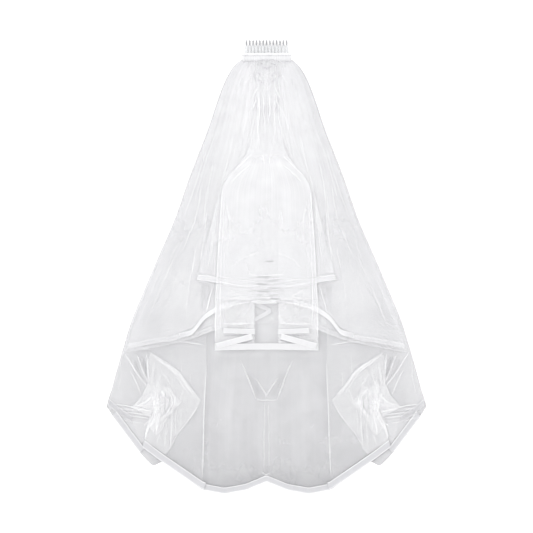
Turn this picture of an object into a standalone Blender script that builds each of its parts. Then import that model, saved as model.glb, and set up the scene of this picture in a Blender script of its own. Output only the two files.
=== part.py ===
"""Two-tier tulle bridal veil with satin ribbon edges, gathered onto a clear hair comb and laid flat.

The veil lies face up on a surface: +Z up, +Y towards the comb, the origin under the middle of the
whole. Sizes are in millimetres. "Down" is the distance below the gathered top edge, x is measured from
the middle, and "across" is a share of a panel's width, from -1 at its left edge to 1 at its right one.
The cloth lies in numbered levels, one on the other, and the gathers give each level its height.
"""

import math
from collections import namedtuple

import bmesh
import bpy
from mathutils import Matrix, Vector

MM = 0.001

# The driving sizes
CLOTH_LENGTH = 802.5
BAND_LENGTH, BAND_WIDTH, BAND_HEIGHT = 93.0, 13.0, 11.6
COMB_WIDTH, TEETH, TOOTH_REACH = 79.0, 13, 24.0
SPINE_DEPTH, SPINE_THICK = 7.0, 4.0
RIBBON = 11.5
CLOTH = 1.1
RIBBON_THICK = 1.0
GAP = 0.3

TOTAL_LENGTH = TOOTH_REACH + BAND_WIDTH + CLOTH_LENGTH
TOP_EDGE_Y = TOTAL_LENGTH / 2 - TOOTH_REACH - BAND_WIDTH

Section = namedtuple("Section", "down half_width")
Hem = namedtuple("Hem", "across down")
Gather = namedtuple("Gather", "down height")
Reach = namedtuple("Reach", "angle length")
Run = namedtuple("Run", "start end")
Strip = namedtuple("Strip", "name start end width turn")

# The outline of the long tier, from the comb to its lower corners
LONG_SECTIONS = (
    Section(0, 46),
    Section(8, 57),
    Section(19, 67),
    Section(34, 75),
    Section(72, 90),
    Section(122, 106),
    Section(222, 145),
    Section(296, 170),
    Section(370, 203),
    Section(481, 250),
    Section(555, 272),
    Section(629, 292),
    Section(641, 299),
    Section(803, 300),
)
LONG_HEM = (
    Hem(0.00, 779.5),
    Hem(0.13, 795.5),
    Hem(0.26, 802.5),
    Hem(0.40, 794.5),
    Hem(0.64, 742.0),
    Hem(0.70, 752.0),
    Hem(0.77, 731.0),
    Hem(1.00, 640.0),
)
# The inner edge of the long tier's turned-in sides, and where their lower edges lie
TURN_SECTIONS = (
    Section(0, 22),
    Section(74, 44),
    Section(229, 82),
    Section(416, 98),
    Section(466, 111),
    Section(555, 111),
    Section(677, 116),
    Section(803, 119),
)
TURN_HEM = (
    Hem(0.00, 791.0),
    Hem(0.44, 737.0),
    Hem(0.64, 710.0),
    Hem(0.72, 668.0),
    Hem(0.85, 654.0),
    Hem(1.00, 634.0),
)
# The short tier's back has a low arched hem, and its spread middle layer a higher one
SHORT_HEM = (
    Hem(0.00, 487.0),
    Hem(0.22, 491.0),
    Hem(0.38, 500.0),
    Hem(0.55, 517.0),
    Hem(0.75, 530.0),
    Hem(1.00, 542.0),
)
ARCH_HEM = (
    Hem(0.00, 441.0),
    Hem(0.20, 444.0),
    Hem(0.40, 460.0),
    Hem(0.48, 474.0),
    Hem(0.55, 497.0),
    Hem(0.72, 519.0),
    Hem(1.00, 534.0),
)
# The short tier's front layer, and its drooping hem
FRONT_SECTIONS = (
    Section(0, 28),
    Section(55, 33),
    Section(130, 47),
    Section(185, 64),
    Section(229, 84),
    Section(318, 105),
    Section(407, 129),
    Section(430, 134),
)
FRONT_HEM = (Hem(0.0, 424.0), Hem(0.5, 418.0), Hem(0.8, 410.0), Hem(1.0, 407.0))
# The folds packed down the middle: a neck from the comb, shoulders, then nearly straight sides
PACKED_SECTIONS = (
    Section(0, 20),
    Section(46, 15),
    Section(130, 22),
    Section(185, 40),
    Section(213, 68),
    Section(229, 82),
    Section(333, 89),
    Section(457, 93),
    Section(537, 96),
)
PACKED_LENGTH = 444.0
FLAP_TOP, FLAP_BOTTOM, FLAP_INNER = 240.0, 536.5, 22.0

# How high the gathers stand in each level, and how far they flatten towards the outline
GATHERS = (
    Gather(0, 0.3),
    Gather(30, 1.5),
    Gather(75, 2.2),
    Gather(150, 1.5),
    Gather(260, 0.9),
    Gather(420, 0.6),
    Gather(803, 0.5),
)
SIDE_FLATTENING = 0.6
# The room that a ribbon takes between two levels, from where the folds open out
ROOM_FROM, ROOM_FULL = 120.0, 220.0
RIBBON_ROOM = RIBBON_THICK + GAP + 0.1

LONG_FOLDS, TURNED_FOLDS, SHORT_FOLDS, ARCH_FOLDS = 22, 6, 18, 16
FRONT_FOLDS, FLAP_FOLDS, PACKED_FOLDS = 9, 3, 8
# How far the short tier's two spread layers reach, as a share of the long tier's width
SHORT_SPREAD, ARCH_SPREAD = 0.97, 0.95

# Where each edge ribbon starts and ends, as a share of its panel's width
MIDDLE_RUN = Run(-0.385, 0.385)
SIDE_RUN = Run(0.02, 0.62)
PINCH_RUN = Run(0.99, 0.73)
CORNER_RUN = Run(0.955, 0.78)
SPREAD_RUN = Run(0.015, 0.985)
FRONT_RUN = Run(-0.985, 0.985)

# The heap at each side, where the long tier's edge is bunched: how far its flap reaches from the pinch
PINCH_ACROSS, PINCH_DOWN = 202.0, 636.0
FLAP_REACHES = (
    Reach(0, 78),
    Reach(4, 80),
    Reach(30, 68),
    Reach(56, 71),
    Reach(70, 79),
    Reach(95, 84),
    Reach(121, 88),
    Reach(141, 80),
    Reach(171, 78),
    Reach(186, 62),
    Reach(215, 26),
    Reach(235, 30),
    Reach(245, 48),
    Reach(252, 72),
    Reach(267, 80),
    Reach(281, 90),
    Reach(299, 70),
    Reach(323, 63),
    Reach(348, 68),
    Reach(360, 78),
)
FLAP_WAVE = 0.3
HEAP_SHARE, HEAP_HEIGHT, HEAP_RIM = 0.72, 13.0, 1.6
HEAP_RIDGES, RIDGE_HEIGHT = 9, 3.6

# Ribbon that lies free on the packed folds, by its ends (x, down), its width and its place in a pile
ZIGZAG = (
    Strip("zigzag_lower_left", (-93.0, 530.0), (-27.0, 512.5), 10.0, 1),
    Strip("zigzag_lower_right", (93.0, 530.0), (27.0, 512.5), 10.0, 1),
    Strip("zigzag_upper_left", (-23.0, 502.0), (-80.0, 502.0), 8.5, 0),
    Strip("zigzag_upper_right", (23.0, 502.0), (80.0, 502.0), 8.5, 0),
)
MIDDLE_ZIGZAG = (
    Strip("middle_zigzag_upper", (-21.0, 456.0), (9.0, 468.0), 8.5, 0),
    Strip("middle_zigzag_lower", (9.0, 468.0), (-21.0, 482.0), 8.5, 1),
)
RUFFLES = (
    Strip("middle_ruffle_1", (-31.0, 408.0), (30.0, 411.0), 9.0, 0),
    Strip("middle_ruffle_2", (-26.0, 420.0), (34.0, 418.0), 9.0, 1),
    Strip("middle_ruffle_3", (-33.0, 433.0), (31.0, 432.0), 9.0, 0),
)


def read(table, place):
    """The second column of a table, at a place in its first column, on straight lines between rows."""
    if place <= table[0][0]:
        return table[0][1]
    for lower, upper in zip(table, table[1:]):
        if place <= upper[0]:
            return lower[1] + (upper[1] - lower[1]) * (place - lower[0]) / (upper[0] - lower[0])
    return table[-1][1]


def smooth_read(table, place, reach):
    """As read, but eased over a reach each way, so that an outline has no corners."""
    spots = (place - reach, place - reach / 2, place, place + reach / 2, place + reach)
    return sum(read(table, spot) for spot in spots) / len(spots)


def half_width(table, down):
    """The half width of an outline: eased, but exact at the gathered top."""
    ease = min(1.0, down / 40.0)
    return ease * smooth_read(table, down, 18) + (1 - ease) * read(table, down)


def gather_height(x, down):
    """How high the gathers of one level stand at a place."""
    share = min(1.0, abs(x) / half_width(LONG_SECTIONS, down))
    return read(GATHERS, down) * (1 - SIDE_FLATTENING * share**2)


def level(number, x, down):
    """The height at which a numbered level starts. Each has its cloth, gathers and gap beneath it."""
    ribbons = max(0, number - 2)
    room = min(1.0, max(0.0, (down - ROOM_FROM) / (ROOM_FULL - ROOM_FROM)))
    return number * (CLOTH + gather_height(x, down) + GAP) + ribbons * RIBBON_ROOM * room


def level_top(number, x, down):
    """The height that a level's crests reach, where a ribbon on it lies."""
    return level(number, x, down) + CLOTH + gather_height(x, down)


def fold(across, folds):
    """From 0 in a trough to 1 on the highest crest. The crests differ, in a slow wave."""
    turn = abs(across) * folds / 2
    crest = 1 - abs(2 * (turn % 1) - 1)
    return crest * (0.75 + 0.25 * math.sin(11 * abs(across) + folds))


def uneven(across):
    """Moves the fold lines a little, so that they aren't evenly spaced."""
    return across + 0.012 * math.sin(9 * math.pi * across)


def point(x, down, height):
    """A point of the veil in metres."""
    return Vector((x, TOP_EDGE_Y - down, height)) * MM


def sided(name, side):
    """The name of a piece at the left (-1) or the right (1)."""
    return f"{name}_left" if side < 0 else f"{name}_right"


def material(name, colour, roughness, alpha=1.0, transmission=0.0):
    """A Principled material."""
    made = bpy.data.materials.new(name)
    made.use_nodes = True
    shader = made.node_tree.nodes["Principled BSDF"]
    shader.inputs["Base Color"].default_value = (*colour, 1.0)
    shader.inputs["Roughness"].default_value = roughness
    shader.inputs["Metallic"].default_value = 0.0
    shader.inputs["Alpha"].default_value = alpha
    shader.inputs["Transmission Weight"].default_value = transmission
    return made


def clear_scene():
    """Removes what the file holds, and makes a collection for the veil and one for its cutters."""
    for old in list(bpy.data.objects):
        bpy.data.objects.remove(old)
    parts = bpy.data.collections.new("bridal_veil")
    helpers = bpy.data.collections.new("helpers")
    bpy.context.scene.collection.children.link(parts)
    bpy.context.scene.collection.children.link(helpers)
    return parts, helpers


def face_out(bm):
    """Turns the faces of a closed mesh outwards."""
    bmesh.ops.recalc_face_normals(bm, faces=bm.faces)
    if bm.calc_volume(signed=True) < 0:
        bmesh.ops.reverse_faces(bm, faces=bm.faces)


def face_up(bm):
    """Turns the faces of an open sheet upwards."""
    bmesh.ops.recalc_face_normals(bm, faces=bm.faces)
    if sum(face.normal.z for face in bm.faces) < 0:
        bmesh.ops.reverse_faces(bm, faces=bm.faces)


def add_object(name, bm, collection, look):
    """Puts a bmesh in the scene as one object."""
    mesh = bpy.data.meshes.new(name)
    bm.to_mesh(mesh)
    bm.free()
    made = bpy.data.objects.new(name, mesh)
    made.data.materials.append(look)
    collection.objects.link(made)
    return made


def add_helper(name, bm, collection, look):
    """As add_object, for a piece that only cuts or joins another."""
    made = add_object(name, bm, collection, look)
    made.hide_render = True
    made.display_type = "WIRE"
    return made


def add_wall(name, bm, thickness, collection, look):
    """Adds an open sheet and gives it its wall, upwards from its underside."""
    face_up(bm)
    made = add_object(name, bm, collection, look)
    made.data.shade_smooth()
    wall = made.modifiers.new("wall", "SOLIDIFY")
    wall.thickness = thickness * MM
    wall.offset = 1.0


def sheet(name, columns, rows, place, thickness, collection, look):
    """A wall of cloth or ribbon. place gives its underside for across (-1 to 1) and along (0 to 1)."""
    bm = bmesh.new()
    bmesh.ops.create_grid(bm, x_segments=columns, y_segments=rows, size=1)
    for vert in bm.verts:
        vert.co = place(vert.co.x, (1 - vert.co.y) / 2)
    add_wall(name, bm, thickness, collection, look)


def block(size, middle):
    """A box as a bmesh, by its size and its middle in millimetres."""
    bm = bmesh.new()
    bmesh.ops.create_cube(bm, size=1)
    bmesh.ops.scale(bm, vec=Vector(size) * MM, verts=bm.verts)
    bmesh.ops.translate(bm, vec=Vector(middle) * MM, verts=bm.verts)
    return bm


# The comb and its band

def tooth(bm, x, start, end, height, tip_height):
    """One moulded tooth: an eight-sided bar that narrows to its tip and bends down to the surface."""
    root_radius, tip_radius, rings, flatness = 1.45, 0.6, 5, 0.8
    lie_along_y = Matrix.Rotation(-math.pi / 2, 4, "X")
    made = bmesh.ops.create_cone(
        bm, cap_ends=True, segments=8, radius1=1, radius2=1, depth=1, matrix=lie_along_y
    )["verts"]
    for ring in range(1, rings):
        edges = {edge for vert in made for edge in vert.link_edges}
        faces = {face for vert in made for face in vert.link_faces}
        cut = bmesh.ops.bisect_plane(
            bm,
            geom=list(set(made) | edges | faces),
            plane_co=(0, ring / rings - 0.5, 0),
            plane_no=(0, 1, 0),
        )["geom_cut"]
        made += [item for item in cut if isinstance(item, bmesh.types.BMVert)]
    for vert in made:
        along = min(1.0, max(0.0, vert.co.y + 0.5))
        radius = root_radius + (tip_radius - root_radius) * along**1.4
        bent = height + (tip_height - height) * along**2
        y = start + (end - start) * along
        vert.co = Vector((x + vert.co.x * radius, y, bent + vert.co.z * radius * flatness)) * MM


def comb(collection, helpers, look):
    """The clear moulded comb: a spine in the band's slot, and its teeth, made one body."""
    root_in_spine, tip_height, outer_teeth = 3.0, 1.2, 4.5
    front = TOP_EDGE_Y + BAND_WIDTH
    middle = BAND_HEIGHT / 2
    bar = block((COMB_WIDTH, SPINE_DEPTH, SPINE_THICK), (0, front - SPINE_DEPTH / 2, middle))
    spine = add_object("comb", bar, collection, look)
    rounding = spine.modifiers.new("rounding", "BEVEL")
    rounding.width = 0.8 * MM
    rounding.segments = 2
    bm = bmesh.new()
    pitch = (COMB_WIDTH - outer_teeth) / (TEETH - 1)
    for number in range(TEETH):
        x = (number - (TEETH - 1) / 2) * pitch
        tooth(bm, x, front - root_in_spine, front + TOOTH_REACH, middle, tip_height)
    face_out(bm)
    union = spine.modifiers.new("teeth", "BOOLEAN")
    union.operation = "UNION"
    union.object = add_helper("comb_teeth", bm, helpers, look)


def band(collection, helpers, look):
    """The rolled band that binds the gathers to the comb: puckered, with a slot for the comb's spine."""
    puckers, pucker_depth, slot_spare = 22, 0.5, 0.6
    middle = (0, TOP_EDGE_Y + (BAND_WIDTH + GAP) / 2, BAND_HEIGHT / 2)
    bm = block((BAND_LENGTH, BAND_WIDTH - GAP, BAND_HEIGHT), middle)
    lengthwise = [edge for edge in bm.edges if abs(edge.verts[0].co.x - edge.verts[1].co.x) > MM]
    bmesh.ops.subdivide_edges(bm, edges=lengthwise, cuts=2 * puckers - 1)
    for vert in bm.verts:
        turn = math.cos(2 * math.pi * puckers * vert.co.x / (BAND_LENGTH * MM))
        if vert.co.z > middle[2] * MM:
            vert.co.z -= pucker_depth * MM * (1 - turn)
        if vert.co.y > middle[1] * MM:
            vert.co.y -= pucker_depth * MM * (1 - turn)
    body = add_object("gathered_band", bm, collection, look)
    rounding = body.modifiers.new("rounding", "BEVEL")
    rounding.width = 2.0 * MM
    rounding.segments = 2
    size = (COMB_WIDTH + slot_spare, 2 * (SPINE_DEPTH + GAP), SPINE_THICK + slot_spare)
    slot = block(size, (0, TOP_EDGE_Y + BAND_WIDTH, BAND_HEIGHT / 2))
    cut = body.modifiers.new("slot", "BOOLEAN")
    cut.operation = "DIFFERENCE"
    cut.object = add_helper("spine_slot", slot, helpers, look)


# The long tier

def long_tier_back(collection, look):
    """The long tier's back, which all the rest lies on. Its underside is flat on the surface."""
    bm = bmesh.new()
    bmesh.ops.create_grid(bm, x_segments=2 * LONG_FOLDS, y_segments=20, size=1)
    for vert in bm.verts:
        across, along = vert.co.x, (1 - vert.co.y) / 2
        share = uneven(across)
        down = along**1.15 * read(LONG_HEM, abs(share))
        x = share * half_width(LONG_SECTIONS, down)
        vert.co = point(x, down, CLOTH + gather_height(x, down) * fold(across, LONG_FOLDS))
    made = bmesh.ops.extrude_face_region(bm, geom=bm.faces[:])["geom"]
    under = [item for item in made if isinstance(item, bmesh.types.BMVert)]
    for vert in under:
        vert.co.z = 0
    flat = [edge for edge in bm.edges if max(vert.co.z for vert in edge.verts) < 1e-7]
    bmesh.ops.dissolve_limit(bm, angle_limit=0.001, verts=under, edges=flat)
    face_out(bm)
    add_object("long_tier_back", bm, collection, look)


def turned_side(side, across, along):
    """A side of the long tier, turned in over the back: (x, down) for across -1 (inner) to 1 (outer)."""
    share = (across + 1) / 2
    down = along**1.15 * read(TURN_HEM, share)
    inner = half_width(TURN_SECTIONS, down)
    outer = 0.985 * half_width(LONG_SECTIONS, down) - 1.0
    return side * (inner + share * (outer - inner)), down


def long_tier_turned(side, collection, look):
    """The left or right side of the long tier, turned in to the fold line that shows below."""

    def place(across, along):
        x, down = turned_side(side, across, along)
        return point(x, down, level(1, x, down) + gather_height(x, down) * fold(across + 1, TURNED_FOLDS))

    sheet(sided("long_tier_turned", side), 2 * TURNED_FOLDS, 16, place, CLOTH, collection, look)


def half_ball(segments, rings):
    """The upper half of a ball, open beneath. From above, a point's distance from the middle is 0 to 1."""
    bm = bmesh.new()
    bmesh.ops.create_uvsphere(bm, u_segments=segments, v_segments=rings, radius=1)
    under = [vert for vert in bm.verts if vert.co.z < -1e-6]
    bmesh.ops.delete(bm, geom=under, context="VERTS")
    return bm


def round_pinch(side, flat, share):
    """Where a point of a half ball lies in the heap: (x, down, angle, distance), scaled by a share."""
    angle = math.degrees(math.atan2(flat.y, flat.x)) % 360
    distance = min(1.0, math.hypot(flat.x, flat.y))
    reach = smooth_read(FLAP_REACHES, angle, 4) * share * distance
    x = PINCH_ACROSS - reach * math.cos(math.radians(angle))
    down = PINCH_DOWN - reach * math.sin(math.radians(angle))
    return side * x, down, angle, distance


def ridge(angle):
    """The ridges that run out from the pinch, from -1 to 1, unevenly spaced."""
    return math.cos(math.radians(HEAP_RIDGES * angle) + 1.5 * math.sin(math.radians(2 * angle)))


def heap_flap_base():
    """The kite-shaped flap lies on the ribbon that runs in from the outer corner."""
    outer_end = 0.93 * half_width(LONG_SECTIONS, PINCH_DOWN)
    return level_top(1, outer_end, PINCH_DOWN) + GAP + RIBBON_THICK + GAP


def long_tier_flap(side, collection, look):
    """The kite-shaped flap of the long tier that spreads out from under each heap."""
    bm = half_ball(segments=36, rings=6)
    for vert in bm.verts:
        x, down, angle, distance = round_pinch(side, vert.co, 1.0)
        vert.co = point(x, down, heap_flap_base() + FLAP_WAVE * distance * (1 + ridge(angle)))
    add_wall(sided("long_tier_flap", side), bm, CLOTH, collection, look)


def long_tier_heap(side, collection, look):
    """The bunched edge of the long tier: one rounded solid, ridged from its pinch, flat beneath."""
    bm = half_ball(segments=36, rings=12)
    bmesh.ops.contextual_create(bm, geom=[edge for edge in bm.edges if edge.is_boundary])
    base = heap_flap_base() + CLOTH + 2 * FLAP_WAVE * HEAP_SHARE + GAP
    for vert in bm.verts:
        upper = vert.co.z > 1e-6
        x, down, angle, distance = round_pinch(side, vert.co, HEAP_SHARE)
        crown = HEAP_HEIGHT * (1 - distance) ** 1.3
        ridges = RIDGE_HEIGHT * ridge(angle) * distance * (1 - distance) * 2
        vert.co = point(x, down, base + (HEAP_RIM + crown + ridges if upper else 0))
    face_out(bm)
    add_object(sided("long_tier_heap", side), bm, collection, look)


# The short tier

def spread_layer(name, number, folds, rows, width, hem, collection, look):
    """A layer of the short tier that is spread to a share of the long tier's width, down to its hem."""

    def place(across, along):
        share = uneven(across)
        down = along**1.1 * read(hem, abs(share))
        x = share * width * half_width(LONG_SECTIONS, down)
        return point(x, down, level(number, x, down) + gather_height(x, down) * fold(across, folds))

    sheet(name, 2 * folds, rows, place, CLOTH, collection, look)


def gathered_layer(name, number, folds, rows, sections, hem, collection, look):
    """A layer of the short tier with an outline of its own, down to its hem."""

    def place(across, along):
        down = along * read(hem, abs(across))
        x = across * half_width(sections, down)
        return point(x, down, level(number, x, down) + gather_height(x, down) * fold(across, folds))

    sheet(name, 2 * folds, rows, place, CLOTH, collection, look)


def packed_flap(side, collection, look):
    """One side of the packed folds, which shows below the upper fold."""

    def place(across, along):
        down = FLAP_TOP + along * (FLAP_BOTTOM - FLAP_TOP)
        share = (across + 1) / 2
        x = side * (FLAP_INNER + share * (half_width(PACKED_SECTIONS, down) - FLAP_INNER))
        return point(x, down, level(5, x, down) + gather_height(x, down) * fold(across + 1, FLAP_FOLDS))

    sheet(sided("packed_flap", side), 2 * FLAP_FOLDS, 9, place, CLOTH, collection, look)


def short_tier(collection, look):
    """The short tier: its back, its arched and its drooping layers, and the folds packed on them."""
    spread_layer("short_tier_back", 2, SHORT_FOLDS, 14, SHORT_SPREAD, SHORT_HEM, collection, look)
    spread_layer("short_tier_arch", 3, ARCH_FOLDS, 12, ARCH_SPREAD, ARCH_HEM, collection, look)
    gathered_layer("short_tier_front", 4, FRONT_FOLDS, 12, FRONT_SECTIONS, FRONT_HEM, collection, look)
    straight = (Hem(0.0, PACKED_LENGTH), Hem(1.0, PACKED_LENGTH))
    gathered_layer("packed_top", 6, PACKED_FOLDS, 16, PACKED_SECTIONS, straight, collection, look)
    for side in (-1, 1):
        packed_flap(side, collection, look)


# The ribbons

def along_run(run, share):
    """A place on a panel's edge, for a share from 0 to 1 of a ribbon's run along it."""
    return run.start + (run.end - run.start) * share


def edge_ribbon(name, segments, edge, collection, look):
    """A ribbon on a panel's edge. edge gives, for 0 to 1 along it, its outer and inner (x, down, top)."""

    def place(across, along):
        outer, inner = edge((across + 1) / 2)
        x, down, top = (far + (near - far) * along for far, near in zip(outer, inner))
        return point(x, down, top + GAP)

    sheet(name, segments, 1, place, RIBBON_THICK, collection, look)


def hem_ribbon_middle(collection, look):
    """The ribbon along the two lobes of the long tier's hem, between the turned sides."""

    def edge(share):
        across = along_run(MIDDLE_RUN, share)
        hem = read(LONG_HEM, abs(across))
        x = across * half_width(LONG_SECTIONS, hem)
        crest = level_top(0, x, hem)
        return (x, hem, crest), (x, hem - RIBBON, crest)

    edge_ribbon("hem_ribbon_middle", 28, edge, collection, look)


def hem_ribbon_side(side, collection, look):
    """The ribbon along the slanting lower edge of a turned side."""
    lean = 0.3 * RIBBON

    def edge(share):
        across = along_run(SIDE_RUN, share)
        hem = read(TURN_HEM, across)
        x, _ = turned_side(side, 2 * across - 1, 1.0)
        crest = level_top(1, x, hem)
        return (x, hem, crest), (x - side * lean, hem - RIBBON, crest)

    edge_ribbon(sided("hem_ribbon", side), 14, edge, collection, look)


def pinch_ribbon(side, collection, look):
    """The ribbon that runs in from the outer corner of a turned side to the pinch."""

    def edge(share):
        across = along_run(PINCH_RUN, share)
        hem = read(TURN_HEM, across)
        x, _ = turned_side(side, 2 * across - 1, 1.0)
        crest = level_top(1, x, hem)
        return (x, hem, crest), (x, hem - RIBBON, crest)

    edge_ribbon(sided("pinch_ribbon", side), 8, edge, collection, look)


def corner_ribbon(side, collection, look):
    """The ribbon down the slanting outer corner of the long tier, below the heap."""
    across_edge = 0.72 * RIBBON

    def edge(share):
        across = along_run(CORNER_RUN, share)
        hem = read(LONG_HEM, across)
        x = side * across * half_width(LONG_SECTIONS, hem)
        crest = level_top(0, x, hem) + 0.1
        return (x, hem, crest), (x - side * across_edge, hem - across_edge, crest)

    edge_ribbon(sided("corner_ribbon", side), 8, edge, collection, look)


def spread_hem_ribbon(name, side, number, width, hem_table, collection, look):
    """Half of the ribbon along the hem of a spread layer of the short tier."""

    def edge(share):
        across = along_run(SPREAD_RUN, share)
        hem = read(hem_table, across)
        x = side * across * width * half_width(LONG_SECTIONS, hem)
        crest = level_top(number, x, hem)
        return (x, hem, crest), (x, hem - 0.9 * RIBBON, crest)

    edge_ribbon(sided(name, side), 20, edge, collection, look)


def front_hem_ribbon(collection, look):
    """The ribbon along the drooping hem of the short tier's front."""

    def edge(share):
        across = along_run(FRONT_RUN, share)
        hem = read(FRONT_HEM, abs(across))
        x = across * half_width(FRONT_SECTIONS, hem)
        crest = level_top(4, x, hem)
        return (x, hem, crest), (x, hem - RIBBON, crest)

    edge_ribbon("front_hem_ribbon", 20, edge, collection, look)


def packed_hem_ribbon(collection, look):
    """The ribbon across the foot of the packed folds, from one flap to the other."""
    half_length, arch = 95.5, 1.5

    def edge(share):
        x = (2 * share - 1) * half_length
        hem = FLAP_BOTTOM - arch * math.cos(math.pi * x / half_length / 2)
        crest = level_top(5, x, hem)
        return (x, hem, crest), (x, hem - RIBBON, crest)

    edge_ribbon("packed_hem_ribbon", 16, edge, collection, look)


def free_strip(strip, base, collection, look):
    """A flat stretch of ribbon from one point to another, in its place in a pile."""
    start, end = Vector(strip.start), Vector(strip.end)
    aside = Vector((end.y - start.y, start.x - end.x)).normalized() * strip.width / 2
    height = base + GAP + strip.turn * (RIBBON_THICK + GAP)

    def place(across, along):
        spot = start.lerp(end, (across + 1) / 2) + aside * (2 * along - 1)
        return point(spot.x, spot.y, height)

    sheet(strip.name, 4, 1, place, RIBBON_THICK, collection, look)


def loose_ribbons(collection, look):
    """The zigzags of ribbon on the packed folds and in their middle, and the ruffled turns above."""
    on_flaps = level_top(5, 0, FLAP_BOTTOM - 40)
    for strip in ZIGZAG:
        free_strip(strip, on_flaps, collection, look)
    on_back = level_top(2, 0, 450)
    for strip in MIDDLE_ZIGZAG:
        free_strip(strip, on_back, collection, look)
    on_top = level_top(6, 0, 400)
    for strip in RUFFLES:
        free_strip(strip, on_top, collection, look)


def main():
    parts, helpers = clear_scene()
    tulle = material("tulle", (0.86, 0.86, 0.87), 0.7, alpha=0.6)
    satin = material("satin_ribbon", (0.93, 0.93, 0.94), 0.35)
    plastic = material("clear_plastic", (0.9, 0.92, 0.93), 0.1, alpha=0.5, transmission=0.6)
    comb(parts, helpers, plastic)
    band(parts, helpers, satin)
    long_tier_back(parts, tulle)
    short_tier(parts, tulle)
    hem_ribbon_middle(parts, satin)
    front_hem_ribbon(parts, satin)
    packed_hem_ribbon(parts, satin)
    for side in (-1, 1):
        long_tier_turned(side, parts, tulle)
        long_tier_flap(side, parts, tulle)
        long_tier_heap(side, parts, tulle)
        hem_ribbon_side(side, parts, satin)
        pinch_ribbon(side, parts, satin)
        corner_ribbon(side, parts, satin)
        spread_hem_ribbon("short_hem_ribbon", side, 2, SHORT_SPREAD, SHORT_HEM, parts, satin)
        spread_hem_ribbon("arch_hem_ribbon", side, 3, ARCH_SPREAD, ARCH_HEM, parts, satin)
    loose_ribbons(parts, satin)


main()
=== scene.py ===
"""Bridal veil: two tiers of white tulle with satin ribbon edges, on a clear comb, laid flat, face up.

Sizes are in millimetres until a mesh is made. Down is the distance below the gathered top edge and x runs
from the middle. A panel's own grid has u across it, from -1 to 1, and v down it, from 0 to 1. The cloth
lies in numbered levels, one on the other, as it does in the solids.
"""

from collections import namedtuple

import bmesh
import bpy
import numpy as np
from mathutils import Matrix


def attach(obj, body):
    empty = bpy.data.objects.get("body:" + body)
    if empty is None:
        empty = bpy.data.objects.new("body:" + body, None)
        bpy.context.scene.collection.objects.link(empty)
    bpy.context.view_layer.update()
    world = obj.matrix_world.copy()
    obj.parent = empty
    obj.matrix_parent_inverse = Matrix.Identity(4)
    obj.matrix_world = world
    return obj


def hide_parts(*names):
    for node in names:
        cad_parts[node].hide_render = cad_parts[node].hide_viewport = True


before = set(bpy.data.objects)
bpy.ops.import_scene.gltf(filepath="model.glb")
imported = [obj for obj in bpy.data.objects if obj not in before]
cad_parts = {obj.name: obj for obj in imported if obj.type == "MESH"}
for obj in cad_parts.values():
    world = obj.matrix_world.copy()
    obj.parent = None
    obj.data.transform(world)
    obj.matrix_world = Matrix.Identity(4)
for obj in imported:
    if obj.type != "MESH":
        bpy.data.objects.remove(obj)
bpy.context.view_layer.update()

# The comb: a clear plastic moulding, thirteen flat teeth on a spine that the band hides. A tooth is a wide
# web at its root and a narrow blade at its tip, painted grey as shade for the light that the blade bends aside.

MM = 0.001
CLOTH_LENGTH = 802.5
BAND_LENGTH, BAND_WIDTH, BAND_HEIGHT = 93.0, 13.0, 11.6
COMB_WIDTH, TEETH, TOOTH_REACH = 79.0, 13, 24.0
TOP_EDGE_Y = (CLOTH_LENGTH - TOOTH_REACH - BAND_WIDTH) / 2
COMB_FRONT = TOP_EDGE_Y + BAND_WIDTH
OUTER_TEETH, ROOT_INSIDE, TIP_HEIGHT = 4.5, 5.0, 1.2
TOOTH_RINGS, TOOTH_SIDES = 25, 20

Width = namedtuple("Width", "along across thick")
TOOTH = (
    Width(0.00, 2.6, 1.5),
    Width(0.40, 2.6, 1.3),
    Width(0.58, 2.3, 1.1),
    Width(0.66, 1.35, 1.0),
    Width(0.92, 1.15, 0.8),
    Width(1.00, 0.45, 0.35),
)


def linear(code):
    """An sRGB hex colour as linear red, green and blue, and 1."""
    shares = np.array([int(code[place : place + 2], 16) for place in (1, 3, 5)]) / 255
    dark = shares / 12.92
    light = ((shares + 0.055) / 1.055) ** 2.4
    return (*np.where(shares <= 0.04045, dark, light), 1.0)


def node(tree, kind, inputs=None, **settings):
    """Adds a node. An input is given a value, or linked where it is given another node's socket."""
    made = tree.nodes.new(kind)
    for name, value in settings.items():
        setattr(made, name, value)
    for name, value in (inputs or {}).items():
        if isinstance(value, bpy.types.NodeSocket):
            tree.links.new(value, made.inputs[name])
        else:
            made.inputs[name].default_value = value
    return made


def new_finish(name):
    """An empty material with its shader: the material, its node tree and the shader."""
    made = bpy.data.materials.new(name)
    made.use_nodes = True
    return made, made.node_tree, made.node_tree.nodes["Principled BSDF"]


def ramp(tree, value, stops):
    """A colour ramp read at a value. Stops are (place, sRGB hex)."""
    made = node(tree, "ShaderNodeValToRGB", {"Fac": value})
    points = made.color_ramp.elements
    while len(points) < len(stops):
        points.new(0.5)
    for point, (place, code) in zip(points, stops):
        point.position = place
        point.color = linear(code)
    return made.outputs["Color"]


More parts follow.
